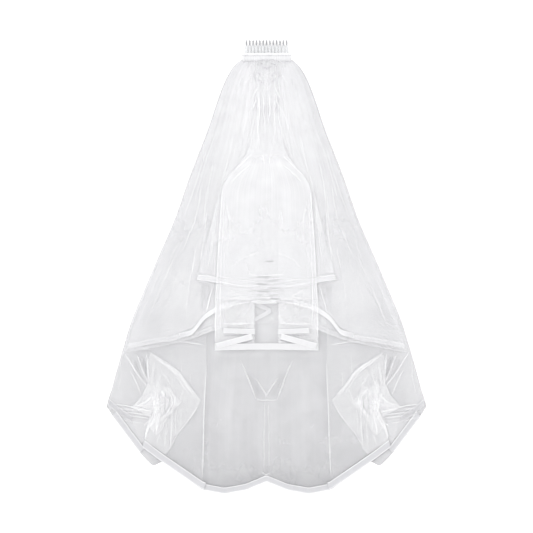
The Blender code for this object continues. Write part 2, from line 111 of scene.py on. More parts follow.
def clear_plastic():
    """Moulded polystyrene: clear, glossy and a little cloudy at the webs, painted grey on the blades and darker on
    their flanks as shade for the light that the plastic bends aside.
    """
    made, tree, shader = new_finish("moulded_polystyrene")
    place = node(tree, "ShaderNodeTexCoord").outputs["Object"]
    along = node(tree, "ShaderNodeSeparateXYZ", {"Vector": place}).outputs["Y"]
    share = node(
        tree,
        "ShaderNodeMapRange",
        {"Value": along, "From Min": COMB_FRONT * MM, "From Max": (COMB_FRONT + TOOTH_REACH) * MM},
    ).outputs["Result"]
    # Painted shade: the blade end of the ramp is grey, for the light that the blades bend aside.
    stops = ((0.0, "#D4D5D7"), (0.52, "#CDCED0"), (0.60, "#87888B"), (0.90, "#7C7D80"), (1.0, "#97989B"))
    # Painted shade: each tooth is painted a little darker on its flanks.
    flank = node(tree, "ShaderNodeAttribute", attribute_name="flank").outputs["Fac"]
    shade = node(
        tree,
        "ShaderNodeMapRange",
        {"Value": flank, "From Min": 0.2, "From Max": 1.0, "To Min": 1.0, "To Max": 0.94},
    ).outputs["Result"]
    tint = node(
        tree, "ShaderNodeVectorMath", {0: ramp(tree, share, stops), "Scale": shade}, operation="SCALE"
    ).outputs["Vector"]
    tree.links.new(tint, shader.inputs["Base Color"])
    flow = node(
        tree,
        "ShaderNodeTexNoise",
        {"Vector": place, "Scale": 180.0, "Detail": 2.0},
    ).outputs["Fac"]
    bump = node(tree, "ShaderNodeBump", {"Height": flow, "Strength": 0.1, "Distance": 0.0003})
    tree.links.new(bump.outputs["Normal"], shader.inputs["Normal"])
    shader.inputs["Roughness"].default_value = 0.12
    shader.inputs["IOR"].default_value = 1.57
    shader.inputs["Alpha"].default_value = 0.62
    return made


def lofted(rings):
    """Points and faces of a closed tube through rings of points (ring, side, xyz), capped at both ends."""
    count, sides, _ = rings.shape
    index = np.arange(count * sides).reshape(count, sides)
    after = np.roll(index, -1, axis=1)
    quads = np.stack([index[:-1], after[:-1], after[1:], index[1:]], axis=-1).reshape(-1, 4)
    return rings.reshape(-1, 3), quads.tolist() + [index[0][::-1].tolist(), index[-1].tolist()]


def joined(shapes):
    """Several (points, faces) as one."""
    points, faces, start = [], [], 0
    for some, theirs in shapes:
        points.append(some)
        faces += [[corner + start for corner in face] for face in theirs]
        start += len(some)
    return np.concatenate(points), faces


def solid_piece(name, points, faces, finish, slot, *nodes):
    """A closed piece: points in millimetres as (x, y, z), its faces turned out, riding on the veil's body."""
    mesh = bpy.data.meshes.new(name)
    mesh.from_pydata((points * MM).tolist(), [], faces)
    work = bmesh.new()
    work.from_mesh(mesh)
    bmesh.ops.recalc_face_normals(work, faces=work.faces)
    work.to_mesh(mesh)
    work.free()
    mesh.shade_smooth()
    made = bpy.data.objects.new(name, mesh)
    made.data.materials.append(finish)
    bpy.context.scene.collection.objects.link(made)
    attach(made, "root")
    if nodes:
        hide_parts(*nodes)
    return made


def with_shares(made, **shares):
    """Gives each point of a piece a share from 0 to 1 under each name, for its finish to read."""
    for word, values in shares.items():
        made.data.attributes.new(word, "FLOAT", "POINT").data.foreach_set("value", values.ravel())
    return made


def tooth(x):
    """A tooth's rings. Width and thickness follow the TOOTH rows, on a squared oval, and it bends down."""
    rows = np.array(TOOTH)
    along = np.linspace(0, 1, TOOTH_RINGS)[:, None]
    turn = np.linspace(0, 2 * np.pi, TOOTH_SIDES, endpoint=False)[None, :]
    half = np.interp(along, rows[:, 0], rows[:, 1])
    thick = np.interp(along, rows[:, 0], rows[:, 2])
    wide = half * np.sign(np.cos(turn)) * np.abs(np.cos(turn)) ** 0.7
    high = thick * np.sign(np.sin(turn)) * np.abs(np.sin(turn)) ** 0.8
    y = COMB_FRONT - ROOT_INSIDE + (TOOTH_REACH + ROOT_INSIDE) * along
    middle = BAND_HEIGHT / 2 + (TIP_HEIGHT - BAND_HEIGHT / 2) * along**2
    return np.stack([x + wide, y + 0 * wide, middle + high], axis=-1)


pitch = (COMB_WIDTH - OUTER_TEETH) / (TEETH - 1)
teeth = [lofted(tooth((number - (TEETH - 1) / 2) * pitch)) for number in range(TEETH)]
comb = solid_piece("comb_teeth", *joined(teeth), clear_plastic(), "clear_plastic", "comb")
# Painted shade: the share of each point that lies on a tooth's narrow flanks, which are painted darker.
flanks = np.abs(np.cos(np.linspace(0, 2 * np.pi, TOOTH_SIDES, endpoint=False))) ** 4
with_shares(comb, flank=np.tile(flanks, TOOTH_RINGS * TEETH))


# The band: the ribbon and the gathered net rolled over the comb's spine and sewn down, with a bead along
# its outer edge and ragged turned-in ends. The pull of the thread puckers it.

PUCKERS = 30
BEAD_RADIUS = 3.0
ROLL_RADIUS = 6.6


def satin(name, code, sheen, stitched):
    """Polyester satin ribbon: smooth and softly lustrous, finely ribbed, with a thread line at each edge.

    Its colour goes from the middle to the edge, and cover is the share of the light that it stops."""
    made, tree, shader = new_finish(name)
    place = node(tree, "ShaderNodeUVMap", uv_map="ribbon").outputs["UV"]
    parts = node(tree, "ShaderNodeSeparateXYZ", {"Vector": place})
    grain = node(tree, "ShaderNodeTexNoise", {"Vector": place, "Scale": 0.35, "Detail": 3.0}).outputs["Fac"]
    # The real ribs are 0.2 mm apart: these are 1.1 mm, as coarse as shows
    ribs = node(
        tree,
        "ShaderNodeTexWave",
        {"Vector": place, "Scale": 0.9 / np.pi, "Distortion": 0.4},
        bands_direction="X",
    ).outputs["Fac"]
    fold = node(tree, "ShaderNodeMath", {0: parts.outputs["Y"], 1: 0.5}, operation="SUBTRACT").outputs[0]
    out = node(tree, "ShaderNodeMath", {0: fold}, operation="ABSOLUTE").outputs[0]
    seam = node(
        tree,
        "ShaderNodeMapRange",
        {"Value": out, "From Min": 0.27, "From Max": 0.38},
        interpolation_type="SMOOTHSTEP",
    ).outputs["Result"]
    tint = ramp(tree, seam, ((0.0, code[0]), (0.55, code[1]), (1.0, code[2])))
    shade = node(
        tree,
        "ShaderNodeMapRange",
        {"Value": grain, "From Min": 0.3, "From Max": 0.7, "To Min": 0.95, "To Max": 1.0},
    ).outputs["Result"]
    mixed = node(
        tree,
        "ShaderNodeVectorMath",
        {0: tint, "Scale": shade},
        operation="SCALE",
    ).outputs["Vector"]
    tree.links.new(mixed, shader.inputs["Base Color"])
    height = node(
        tree,
        "ShaderNodeMath",
        {0: ribs, 1: 0.3, 2: seam if stitched else grain},
        operation="MULTIPLY_ADD",
    ).outputs[0]
    bump = node(tree, "ShaderNodeBump", {"Height": height, "Strength": 0.25, "Distance": 0.0004})
    tree.links.new(bump.outputs["Normal"], shader.inputs["Normal"])
    cover = node(tree, "ShaderNodeAttribute", attribute_name="cover").outputs["Fac"]
    tree.links.new(cover, shader.inputs["Alpha"])
    shader.inputs["Roughness"].default_value = 0.42
    shader.inputs["Sheen Weight"].default_value = sheen
    return made


def with_ribbon_map(made, across, along):
    """Gives a piece the map that its weave follows: millimetres along it, and its share across."""
    layer = made.data.uv_layers.new(name="ribbon")
    corners = np.empty(len(made.data.loops), dtype=np.int32)
    made.data.loops.foreach_get("vertex_index", corners)
    layer.data.foreach_set("uv", np.stack([along[corners], across[corners]], axis=-1).ravel())
    return made


def roll(length, middle_y, middle_z, radius_y, radius_z, phase):
    """A puckered roll along x: an oval section whose size swells between its puckers and at its ends."""
    along = np.linspace(-1, 1, 12 * PUCKERS + 1)[:, None]
    turn = np.linspace(0, 2 * np.pi, 24, endpoint=False)[None, :]
    x = along * length / 2
    pucker = np.abs(np.sin(PUCKERS * np.pi * along / 2 + phase + 0.9 * np.sin(7 * along)))
    swell = 0.86 + 0.14 * pucker + 0.05 * np.sin(19 * along + phase) + 0.16 * np.abs(along) ** 14
    taper = np.sqrt(np.clip(1 - np.abs(along) ** 60, 0.02, 1))
    ragged = 0.5 * np.sin(13 * along + 2 * phase) + 0.3 * np.sin(31 * along)
    y = middle_y + radius_y * swell * taper * np.cos(turn) + 0.4 * ragged
    z = middle_z + radius_z * swell * taper * np.sin(turn)
    rings = np.stack([x + 0 * y, y, np.maximum(z, 0.1)], axis=-1)
    return rings, np.repeat(x, 24, axis=1).ravel(), np.tile(turn / (2 * np.pi), (len(along), 1)).ravel()


bead_finish = satin("rolled_satin", ("#D6D6D8", "#D3D3D5", "#D5D5D7"), 0.2, False)
roll_finish = satin("gathered_satin", ("#CDCDCF", "#CBCBCD", "#CDCDCF"), 0.2, False)
rolls = (
    ("band_bead", BAND_LENGTH, COMB_FRONT - BEAD_RADIUS - 0.6, 7.2, BEAD_RADIUS, 3.6, 0.0, bead_finish),
    ("band_roll", BAND_LENGTH - 3, TOP_EDGE_Y + 2.2, 5.6, ROLL_RADIUS, 5.2, 1.7, roll_finish),
)
for name, length, y, z, radius_y, radius_z, phase, finish in rolls:
    rings, along, across = roll(length, y, z, radius_y, radius_z, phase)
    piece = solid_piece(name, *lofted(rings), finish, "band_satin", "gathered_band")
    with_ribbon_map(piece, across, along)
    with_shares(piece, cover=np.ones(along.size))


# The long tier's back: one panel of nylon tulle, gathered at the top and edged with ribbon, that all the
# rest lies on. It is painted grey as shade, and where it lies alone it is thin and shows greyest. Its wrinkles run
# together to a V.

CLOTH, RIBBON_THICK, GAP = 1.1, 1.0, 0.3
NET_THICK = 0.3
CUT_WIDTH = 1500.0
RIBBON_ROOM = RIBBON_THICK + GAP + 0.1
ROOM_FROM, ROOM_FULL = 120.0, 220.0
SIDE_FLATTENING = 0.6
LONG_SECTIONS = (
    (0, 46), (8, 57), (19, 67), (34, 75), (72, 90), (122, 106), (222, 145), (296, 170), (370, 203),
    (481, 250), (555, 272), (629, 292), (641, 299), (803, 300),
)
LONG_HEM = (
    (0.00, 779.5), (0.13, 795.5), (0.26, 802.5), (0.40, 794.5), (0.64, 742.0), (0.70, 752.0),
    (0.77, 731.0), (1.00, 640.0),
)
GATHERS = ((0, 0.3), (30, 1.5), (75, 2.2), (150, 1.5), (260, 0.9), (420, 0.6), (803, 0.5))

Crease = namedtuple("Crease", "line width reach height")
# A look's tone is the layer's own brightness, lighter or darker per layer as painted light and shade, and its crest
# highlight is painted highlight on the crests.
Look = namedtuple("Look", "single crest tone shift")
Patch = namedtuple("Patch", "left right top bottom edge cover tone")
# A pleat of high tone is a fold laid double; one of low tone is a grey strip of painted shade for the shaded side of a
# fold.
Pleat = namedtuple("Pleat", "line width cover tone")

BACK_CREASES = (
    Crease(((-34, 578), (-22, 602), (-10, 622)), 6.0, 6.0, -0.8),
    Crease(((-10, 640), (-9, 700), (-7, 780)), 9.0, 9.0, 0.35),
    Crease(((-107, 545), (-105, 600), (-109, 680), (-114, 775)), 3.0, 17.0, -0.3),
    Crease(((-70, 560), (-66, 640), (-72, 740)), 7.0, 14.0, 0.35),
    Crease(((-48, 640), (-52, 700), (-58, 760)), 9.0, 9.0, 0.3),
)
BACK_PLEATS = (
    Pleat(((-47.6, 557), (-35, 585), (-19.8, 628)), 2.6, 0.42, 0.9),
    Pleat(((-22, 586), (-10, 604), (2.4, 624)), 2.6, 0.42, 0.9),
    Pleat(((-20, 627), (-8, 630), (3, 628)), 2.4, 0.35, 0.9),
    Pleat(((-3.2, 630), (-4.4, 690), (-4.3, 765)), 2.2, 0.22, 0.9),
    Pleat(((-10, 762), (-2, 767), (6, 765)), 2.4, 0.30, 0.9),
    Pleat(((-8, 773), (0, 768), (7, 772)), 2.2, 0.26, 0.9),
)
# Painted light: patches where the back is painted lighter, against the shadow of the layers, flaps and ribbons above
# it.
BACK_LIGHT_PATCHES = (
    Patch(-1, 24, 440, 536, 4.0, 0.0, 0.34),
    Patch(86, 118, 440, 500, 6.0, 0.0, 0.34),
    Patch(-1, 98, 530, 545, 14.0, 0.0, 0.40),
)


def eased(table, place, reach):
    """A table's second column, on straight lines between its rows, averaged over a reach each way."""
    rows = np.array(table, float)
    spots = (-1.0, -0.5, 0.0, 0.5, 1.0)
    return sum(np.interp(place + spot * reach, rows[:, 0], rows[:, 1]) for spot in spots) / len(spots)


def half_width(table, down):
    """The half width of an outline: eased, but exact at the gathered top."""
    rows = np.array(table, float)
    ease = np.minimum(1.0, down / 40.0)
    return ease * eased(table, down, 18.0) + (1 - ease) * np.interp(down, rows[:, 0], rows[:, 1])


def gather_height(x, down):
    """How high the gathers of one level stand at a place. They flatten towards the outline."""
    share = np.minimum(1.0, np.abs(x) / half_width(LONG_SECTIONS, down))
    return eased(GATHERS, down, 4.0) * (1 - SIDE_FLATTENING * share**2)


def level(number, x, down):
    """The height at which a level starts: its cloth, gathers and gaps beneath it, and room for ribbons."""
    room = np.clip((down - ROOM_FROM) / (ROOM_FULL - ROOM_FROM), 0, 1)
    return number * (CLOTH + gather_height(x, down) + GAP) + max(0, number - 2) * RIBBON_ROOM * room


def level_top(number, x, down):
    """The height that a level's crests reach, where a ribbon or a pressed fold on it lies."""
    return level(number, x, down) + CLOTH + gather_height(x, down)


def grid(columns, rows):
    """u from -1 to 1 across and v from 0 to 1 down, as arrays of rows + 1 by columns + 1."""
    v, u = np.meshgrid(np.linspace(0, 1, rows + 1), np.linspace(-1, 1, columns + 1), indexing="ij")
    return u, v


def gathers(u, down, folds, seed):
    """Folds from 0 to 1 and fine crests from -1 to 1: ridges of four spacings, the finer the sooner faded.

    The widest spacing is the height of the folds, and all four make the crests that the eye sees."""
    random = np.random.default_rng(seed)
    total, most, widest = 0.0, 0.0, None
    for times, strength, fades in ((1.0, 0.5, 950), (2.3, 0.75, 850), (4.4, 0.9, 760), (7.7, 0.9, 640)):
        phase, bend, slide = random.uniform(0, 2 * np.pi, 3)
        wander = 0.5 * np.sin(down / 95 + bend) + 0.3 * np.sin(down / 41 + slide)
        spacing = 0.9 * np.sin(2.7 * u + bend) + 0.5 * np.sin(7.1 * u + slide)
        turn = times * folds * u * np.pi / 2 + phase + wander + spacing
        lasts = np.exp(-((down / (fades * (0.75 + 0.5 * np.sin(5 * u + slide) ** 2))) ** 2))
        total = total + strength * lasts * ((1 - np.abs(np.sin(turn))) ** 1.5 - 0.3)
        most += strength * lasts.max()
        if widest is None:
            widest = 0.5 + 0.5 * np.cos(2 * turn)
    return widest, 1.6 * total / most


def creased(x, down, creases):
    """Height and crests of soft ridges and troughs along listed lines, and along their mirror images.

    Each rises over its width on one side, falls over its reach on the other and fades out at its ends."""
    height, crest = np.zeros_like(x), np.zeros_like(x)
    for line, width, reach, most in creases:
        points = np.array(line, float)
        ends = np.concatenate([[0], np.cumsum(np.hypot(*np.diff(points, axis=0).T))])
        for mirror in (1, -1):
            nearest = np.full(x.shape, 1e9)
            signed, along = np.zeros_like(x), np.zeros_like(x)
            for start, end, from_start in zip(points, points[1:], ends):
                step = end - start
                ahead = ((mirror * x - start[0]) * step[0] + (down - start[1]) * step[1]) / (step @ step)
                held = np.clip(ahead, 0, 1)
                aside = mirror * x - start[0] - held * step[0]
                below = down - start[1] - held * step[1]
                distance = np.hypot(aside, below)
                closer = distance < nearest
                nearest = np.where(closer, distance, nearest)
                signed = np.where(closer, step[0] * below - step[1] * aside, signed)
                along = np.where(closer, from_start + held * np.hypot(*step), along)
            fade = np.clip(np.minimum(along, ends[-1] - along) / (0.22 * ends[-1]), 0, 1) ** 0.6
            shape = fade * np.exp(-((nearest / np.where(signed > 0, reach, width)) ** 2))
            height += most * shape
            crest += most * shape
    return height, crest


def net(name, dark, light):
    """Nylon tulle: a fine even net of hexagons, matt and see-through, milky where its threads lie close.

    Cover is the share that the threads hide, and tone goes from the dark colour to the light one. The dark colour is
    painted shade, and a sheet's tone carries its painted shade and light."""
    made, tree, shader = new_finish(name)
    place = node(tree, "ShaderNodeUVMap", uv_map="net").outputs["UV"]
    cover = node(tree, "ShaderNodeAttribute", attribute_name="cover").outputs["Fac"]
    tone = node(tree, "ShaderNodeAttribute", attribute_name="tone").outputs["Fac"]
    # The real holes are 1 mm wide: these are 1.8 mm, as coarse as shows
    threads = node(
        tree,
        "ShaderNodeTexVoronoi",
        {"Vector": place, "Scale": 1 / 1.8, "Randomness": 0.35},
        feature="DISTANCE_TO_EDGE",
    ).outputs["Distance"]
    thread = node(
        tree,
        "ShaderNodeMapRange",
        {"Value": threads, "From Min": 0.05, "From Max": 0.28, "To Min": 1.02, "To Max": 0.985},
    ).outputs["Result"]
    cloud = node(tree, "ShaderNodeTexNoise", {"Vector": place, "Scale": 0.03, "Detail": 1.0}).outputs["Fac"]
    milky = node(
        tree,
        "ShaderNodeMapRange",
        {"Value": cloud, "From Min": 0.3, "From Max": 0.7, "To Min": 0.94, "To Max": 1.06},
    ).outputs["Result"]
    part = node(tree, "ShaderNodeMath", {0: cover, 1: thread}, operation="MULTIPLY").outputs[0]
    whole = node(tree, "ShaderNodeMath", {0: part, 1: milky}, operation="MULTIPLY").outputs[0]
    hidden = node(tree, "ShaderNodeMath", {0: whole, 1: 0.97}, operation="MINIMUM").outputs[0]
    tree.links.new(hidden, shader.inputs["Alpha"])
    tree.links.new(ramp(tree, tone, ((0.0, dark), (1.0, light))), shader.inputs["Base Color"])
    shader.inputs["Roughness"].default_value = 0.75
    shader.inputs["Sheen Weight"].default_value = 0.15
    shader.inputs["Specular IOR Level"].default_value = 0.2
    return made


def one_face(cover):
    """What each of a sheet's two faces hides, for the whole sheet to hide its cover."""
    return 1 - np.sqrt(1 - np.clip(cover, 0, 0.99))


def cloth_piece(name, sheets, finish, slot, *nodes):
    """Sheets of net, each a grid of (x, down, z, cover, tone), as one piece with its faces up.

    The wall is laid on the underside of each sheet."""
    points, faces, shares, start = [], [], [], 0
    for sheet in sheets:
        x, down, z, cover, tone = (values + np.zeros_like(sheet[0]) for values in sheet)
        middle = x.shape[0] // 2, x.shape[1] // 2
        across, along = (np.array([np.gradient(x, axis=a)[middle], np.gradient(down, axis=a)[middle]]) for a in (1, 0))
        if across[0] * along[1] - across[1] * along[0] < 0:
            x, down, z, cover, tone = (values[:, ::-1] for values in (x, down, z, cover, tone))
        rows, columns = x.shape
        index = np.arange(rows * columns).reshape(rows, columns) + start
        faces.append(
            np.stack([index[:-1, :-1], index[1:, :-1], index[1:, 1:], index[:-1, 1:]], axis=-1).reshape(-1, 4)
        )
        points.append(np.stack([x, TOP_EDGE_Y - down, z], axis=-1).reshape(-1, 3))
        shares.append(np.stack([one_face(cover), np.clip(tone, 0, 1)], axis=-1).reshape(-1, 2))
        start += rows * columns
    points, shares = np.concatenate(points), np.concatenate(shares)
    mesh = bpy.data.meshes.new(name)
    mesh.from_pydata((points * MM).tolist(), [], np.concatenate(faces).tolist())
    layer = mesh.uv_layers.new(name="net")
    corners = np.empty(len(mesh.loops), dtype=np.int32)
    mesh.loops.foreach_get("vertex_index", corners)
    layer.data.foreach_set("uv", points[corners, :2].ravel())
    mesh.shade_smooth()
    made = bpy.data.objects.new(name, mesh)
    with_shares(made, cover=shares[:, 0], tone=shares[:, 1])
    made.data.materials.append(finish)
    bpy.context.scene.collection.objects.link(made)
    wall = made.modifiers.new("wall", "SOLIDIFY")
    wall.thickness = NET_THICK * MM
    wall.offset = 1.0
    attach(made, "root")
    if nodes:
        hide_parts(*nodes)
    return made


def dressed(x, down, base, u, folds, seed, creases, look):
    """Height, cover and tone of a gathered layer: its base, its gathers and its creases, with painted shade and
    highlight in its tone.

    A layer hides what one net hides, for as many nets as are drawn up side by side into its width."""
    waves, crests = gathers(u, down, folds, seed)
    lift, lines = creased(x, down, creases)
    room = CLOTH + gather_height(x, down) - NET_THICK
    z = base + np.maximum(0, 0.5 * room * (0.4 + 0.6 * waves) + np.clip(lift, -1, 1))
    crest = crests * np.clip(gather_height(x, down) / 1.5, 0.5, 1) + lines
    drawn = CUT_WIDTH / (2 * half_width(LONG_SECTIONS, down))
    cover = np.clip(1 - (1 - look.single) ** drawn + look.crest * crest, 0.03, 0.97)
    share = np.minimum(1.0, np.abs(x) / half_width(LONG_SECTIONS, down))
    # Painted shade: the tone is lowered under the band and towards the outline; painted highlight raises it on the
    # crests.
    shade = 0.37 * np.exp(-down / 60) + 0.31 * share**2 * np.clip((600 - down) / 120, 0, 1)
    return z, cover, np.clip(look.tone - shade + look.shift * crest, 0, 1)


def drooped(z, share, start, low):
    """The height of a sheet whose edge sinks on to what lies under it, from a share of its width outwards."""
    out = np.clip((share - start) / (1 - start), 0, 1)
    return z + (np.minimum(z, low) - z) * out**2 * (3 - 2 * out)


def patched(x, down, patches):
    """Change of cover and tone in soft-edged boxes, the same on both sides."""
    cover, tone = np.zeros_like(x), np.zeros_like(x)
    for left, right, top, bottom, edge, more_cover, more_tone in patches:
        inside = 1.0
        for place, low, high in ((np.abs(x), left, right), (down, top, bottom)):
            inside = inside * np.clip(0.5 + np.minimum(place - low, high - place) / edge, 0, 1)
        cover, tone = cover + more_cover * inside, tone + more_tone * inside
    return cover, tone


def through(line, count):
    """Points along a line of (x, down): straight runs, averaged over a little length but exact at its ends."""
    points = np.array(line, float)
    ends = np.concatenate([[0], np.cumsum(np.hypot(*np.diff(points, axis=0).T))])
    along = np.linspace(0, ends[-1], count)
    reach = np.minimum(0.14 * ends[-1], np.minimum(along, ends[-1] - along))
    return sum(
        np.stack([np.interp(along + spot * reach, ends, points[:, axis]) for axis in (0, 1)], axis=-1)
        for spot in (-1.0, -0.5, 0.0, 0.5, 1.0)
    ) / 5


def pleats(lines, top, seed, sides=(1, -1)):
    """Sheets for pressed folds: each is a low narrow ridge along its line, tapered to nothing at its ends.

    The mirror image of each wanders a little from the true one. Top is the height that they lie on. A pleat of low
    tone is painted shade: a grey strip for the shaded side of a fold."""
    random = np.random.default_rng(seed)
    across = np.linspace(-1, 1, 5)[None, :]
    sheets = []
    for line, width, cover, tone in lines:
        for mirror in sides:
            count = max(10, int(np.hypot(*np.diff(np.array(line, float), axis=0).T).sum() / 4))
            middle = through(line, count)
            share = np.linspace(0, 1, count)
            phase, turns = random.uniform(0, 2 * np.pi, 2)
            middle[:, 0] += 0.5 * np.sin(np.pi * share) * np.sin(turns * share + phase)
            ahead = np.gradient(middle, axis=0)
            aside = np.stack([ahead[:, 1], -ahead[:, 0]], axis=-1) / np.hypot(*ahead.T)[:, None]
            taper = np.clip(np.minimum(share, 1 - share) / 0.15, 0.08, 1)
            half = 0.5 * width * taper[:, None] * (0.85 + 0.15 * np.sin(9 * share + phase))[:, None]
            x = mirror * (middle[:, :1] + aside[:, :1] * half * across)
            down = middle[:, 1:] + aside[:, 1:] * half * across
            z = top(x, down) + 0.05 + 0.45 * (1 - across**2) * taper[:, None]
            strength = cover * (0.55 + 0.45 * (1 - across**2)) * np.sqrt(taper)[:, None]
            sheets.append((x, down, z, strength, tone + 0 * x))
    return sheets


u, v = grid(300, 130)
down = v**1.15 * eased(LONG_HEM, np.abs(u), 0.015)
x = u * half_width(LONG_SECTIONS, down)
z, cover, tone = dressed(x, down, 0.0, u, 13, 3, BACK_CREASES, Look(0.36, 0.0, 0.72, 0.22))
# Painted shade and light on the back's tone: darker towards the hem and in a band just above it, lighter near the
# outline, where it also hides less, and lighter at the lower outer corners and in the light patches.
hem_ward_shade = np.clip((down - 540) / 255, 0, 1)
hem_shade = np.exp(-(((eased(LONG_HEM, np.abs(u), 0.015) - 14 - down) / 24) ** 2)) * (np.abs(x) < 122)
rim = np.clip((np.abs(u) - 0.86) / 0.12, 0, 1) * np.clip((600 - down) / 150, 0.15, 1)
corner = np.clip((np.abs(x) - 190) / 30, 0, 1) * np.clip((down - 650) / 20, 0, 1)
tone = tone - 0.30 * hem_ward_shade - 0.14 * hem_shade + 0.60 * rim + 0.22 * corner + patched(x, down, BACK_LIGHT_PATCHES)[1]
cover = cover * (1 - 0.25 * rim)
# The back's net is painted grey as shade, darker than the other layers of the same tulle.
back_net = net("nylon_tulle_painted_grey", "#8F8F92", "#D3D3D5")
back = cloth_piece("veil_back", [(x, down, z, cover, tone)], back_net, "long_tulle", "long_tier_back")
# The folds' dark colour is painted shade, for the pleats of low tone.
fold_net = net("nylon_tulle_folded", "#A6A6A9", "#F6F6F7")
back_folds = cloth_piece(
    "back_folds", pleats(BACK_PLEATS, lambda x, down: level_top(0, x, down), 1), fold_net, "long_tulle"
)


# The long tier's sides: the same panel, turned in over its back along the outline, so that its inner
# edges fall in two nearly straight lines. Each outer edge rolls over to the back.

TURN_SECTIONS = ((0, 22), (74, 44), (229, 82), (416, 98), (466, 111), (555, 111), (677, 116), (803, 119))
TURN_HEM = ((0.00, 791.0), (0.44, 737.0), (0.64, 710.0), (0.72, 668.0), (0.85, 654.0), (1.00, 634.0))
TURN_CREASES = (
    Crease(((-246, 548), (-238, 572), (-226, 596)), 3.0, 3.0, -0.8),
    Crease(((-231, 546), (-226, 566), (-220, 592)), 3.5, 3.5, -1.0),
    Crease(((-158, 530), (-157, 570), (-158, 600)), 4.0, 8.0, 0.4),
)
# Pleats of low tone here are painted shade.
TURN_PLEATS = (
    Pleat(((-264, 540), (-247, 566), (-233, 588), (-218, 606)), 2.8, 0.50, 1.0),
    Pleat(((-240, 544), (-230, 570), (-218, 598)), 2.6, 0.50, 1.0),
    Pleat(((-222, 542), (-220, 566), (-218, 597)), 2.8, 0.50, 1.0),
    Pleat(((-254, 572), (-242, 592), (-231, 622)), 2.6, 0.30, 1.0),
    Pleat(((-232, 548), (-226, 568), (-220, 590)), 6.5, 0.28, 0.1),
    Pleat(((-246, 552), (-238, 574), (-226, 597)), 3.0, 0.20, 0.1),
    Pleat(((-291, 637), (-265, 638), (-236, 644)), 2.6, 0.40, 1.0),
    Pleat(((-289, 645), (-252, 646), (-212, 653)), 3.0, 0.50, 1.0),
    Pleat(((-286, 651), (-250, 652), (-210, 658)), 2.6, 0.45, 1.0),
    Pleat(((-284, 656), (-252, 658), (-214, 663)), 2.6, 0.40, 1.0),
    Pleat(((-282, 660), (-254, 668), (-230, 672)), 2.2, 0.30, 1.0),
    Pleat(((-157, 545), (-158, 572), (-158, 602)), 3.0, 0.14, 1.0),
    Pleat(((-139, 575), (-141, 590), (-140, 606)), 2.4, 0.16, 1.0),
    Pleat(((-262, 515), (-240, 528), (-216, 536)), 3.0, 0.30, 1.0),
    Pleat(((-266, 522), (-240, 531), (-212, 537)), 2.4, 0.30, 1.0),
    Pleat(((-270, 546), (-268, 590), (-280, 628)), 3.0, 0.12, 1.0),
    Pleat(((-110.5, 553), (-112.5, 600), (-115, 640), (-116, 700), (-119.5, 784)), 2.6, 0.42, 1.0),
)


def turned_side(side, u, v):
    """A turned side's (x, down), for u from -1 at its inner edge to 1 at the outline."""
    share = (u + 1) / 2
    down = v**1.15 * eased(TURN_HEM, share, 0.02)
    inner = half_width(TURN_SECTIONS, down)
    outer = 0.998 * half_width(LONG_SECTIONS, down) - 0.3
    return side * (inner + share * (outer - inner)), down


def side_height(x, down):
    """How high the top of a turned side stands, with its outer edge rolled down to the back."""
    inner, outer = half_width(TURN_SECTIONS, down), half_width(LONG_SECTIONS, down)
    return drooped(level_top(1, x, down), (np.abs(x) - inner) / (outer - inner), 0.75, 1.8)


turned_net = net("nylon_tulle_turned", "#C8C8CB", "#F2F2F3")
for side, name in ((-1, "left"), (1, "right")):
    u, v = grid(110, 110)
    x, down = turned_side(side, u, v)
    look = Look(0.095, 0.03, 0.6, 0.16)
    z, cover, tone = dressed(x, down, level(1, x, down), u, 5, 11, TURN_CREASES, look)
    inner_roll = np.exp(-(((u + 1) / 0.03) ** 2)) * np.clip((down - 480) / 40, 0, 1)
    z = drooped(z + 1.0 * inner_roll, (u + 1) / 2, 0.75, 1.2)
    fall = 0.14 * np.clip((down - 560) / 180, 0, 1)
    cover = cover - fall
    # Painted light: the turned side's tone is raised in a band above its hem and along its outer edge.
    tone = tone + 0.16 * np.clip((down - 520) / 50, 0, 1) * np.clip((715 - down) / 70, 0, 1)
    tone = tone + 0.4 * np.clip((u - 0.7) / 0.2, 0, 1) * np.clip((560 - down) / 120, 0, 1)
    piece = cloth_piece(
        f"turned_side_{name}",
        [(x, down, z, np.clip(cover, 0.02, 0.97), tone)],
        turned_net, "long_tulle", f"long_tier_turned_{name}",
    )
    cloth_piece(
        f"turned_folds_{name}",
        pleats(TURN_PLEATS, side_height, 7 + side, (-side,)),
        fold_net, "long_tulle",
    )


# The heap at each side: the long tier's ribboned edge is bunched there in the hand and let fall, so a
# kite-shaped flap fans out from a pinch, with the crumpled folds standing on it.

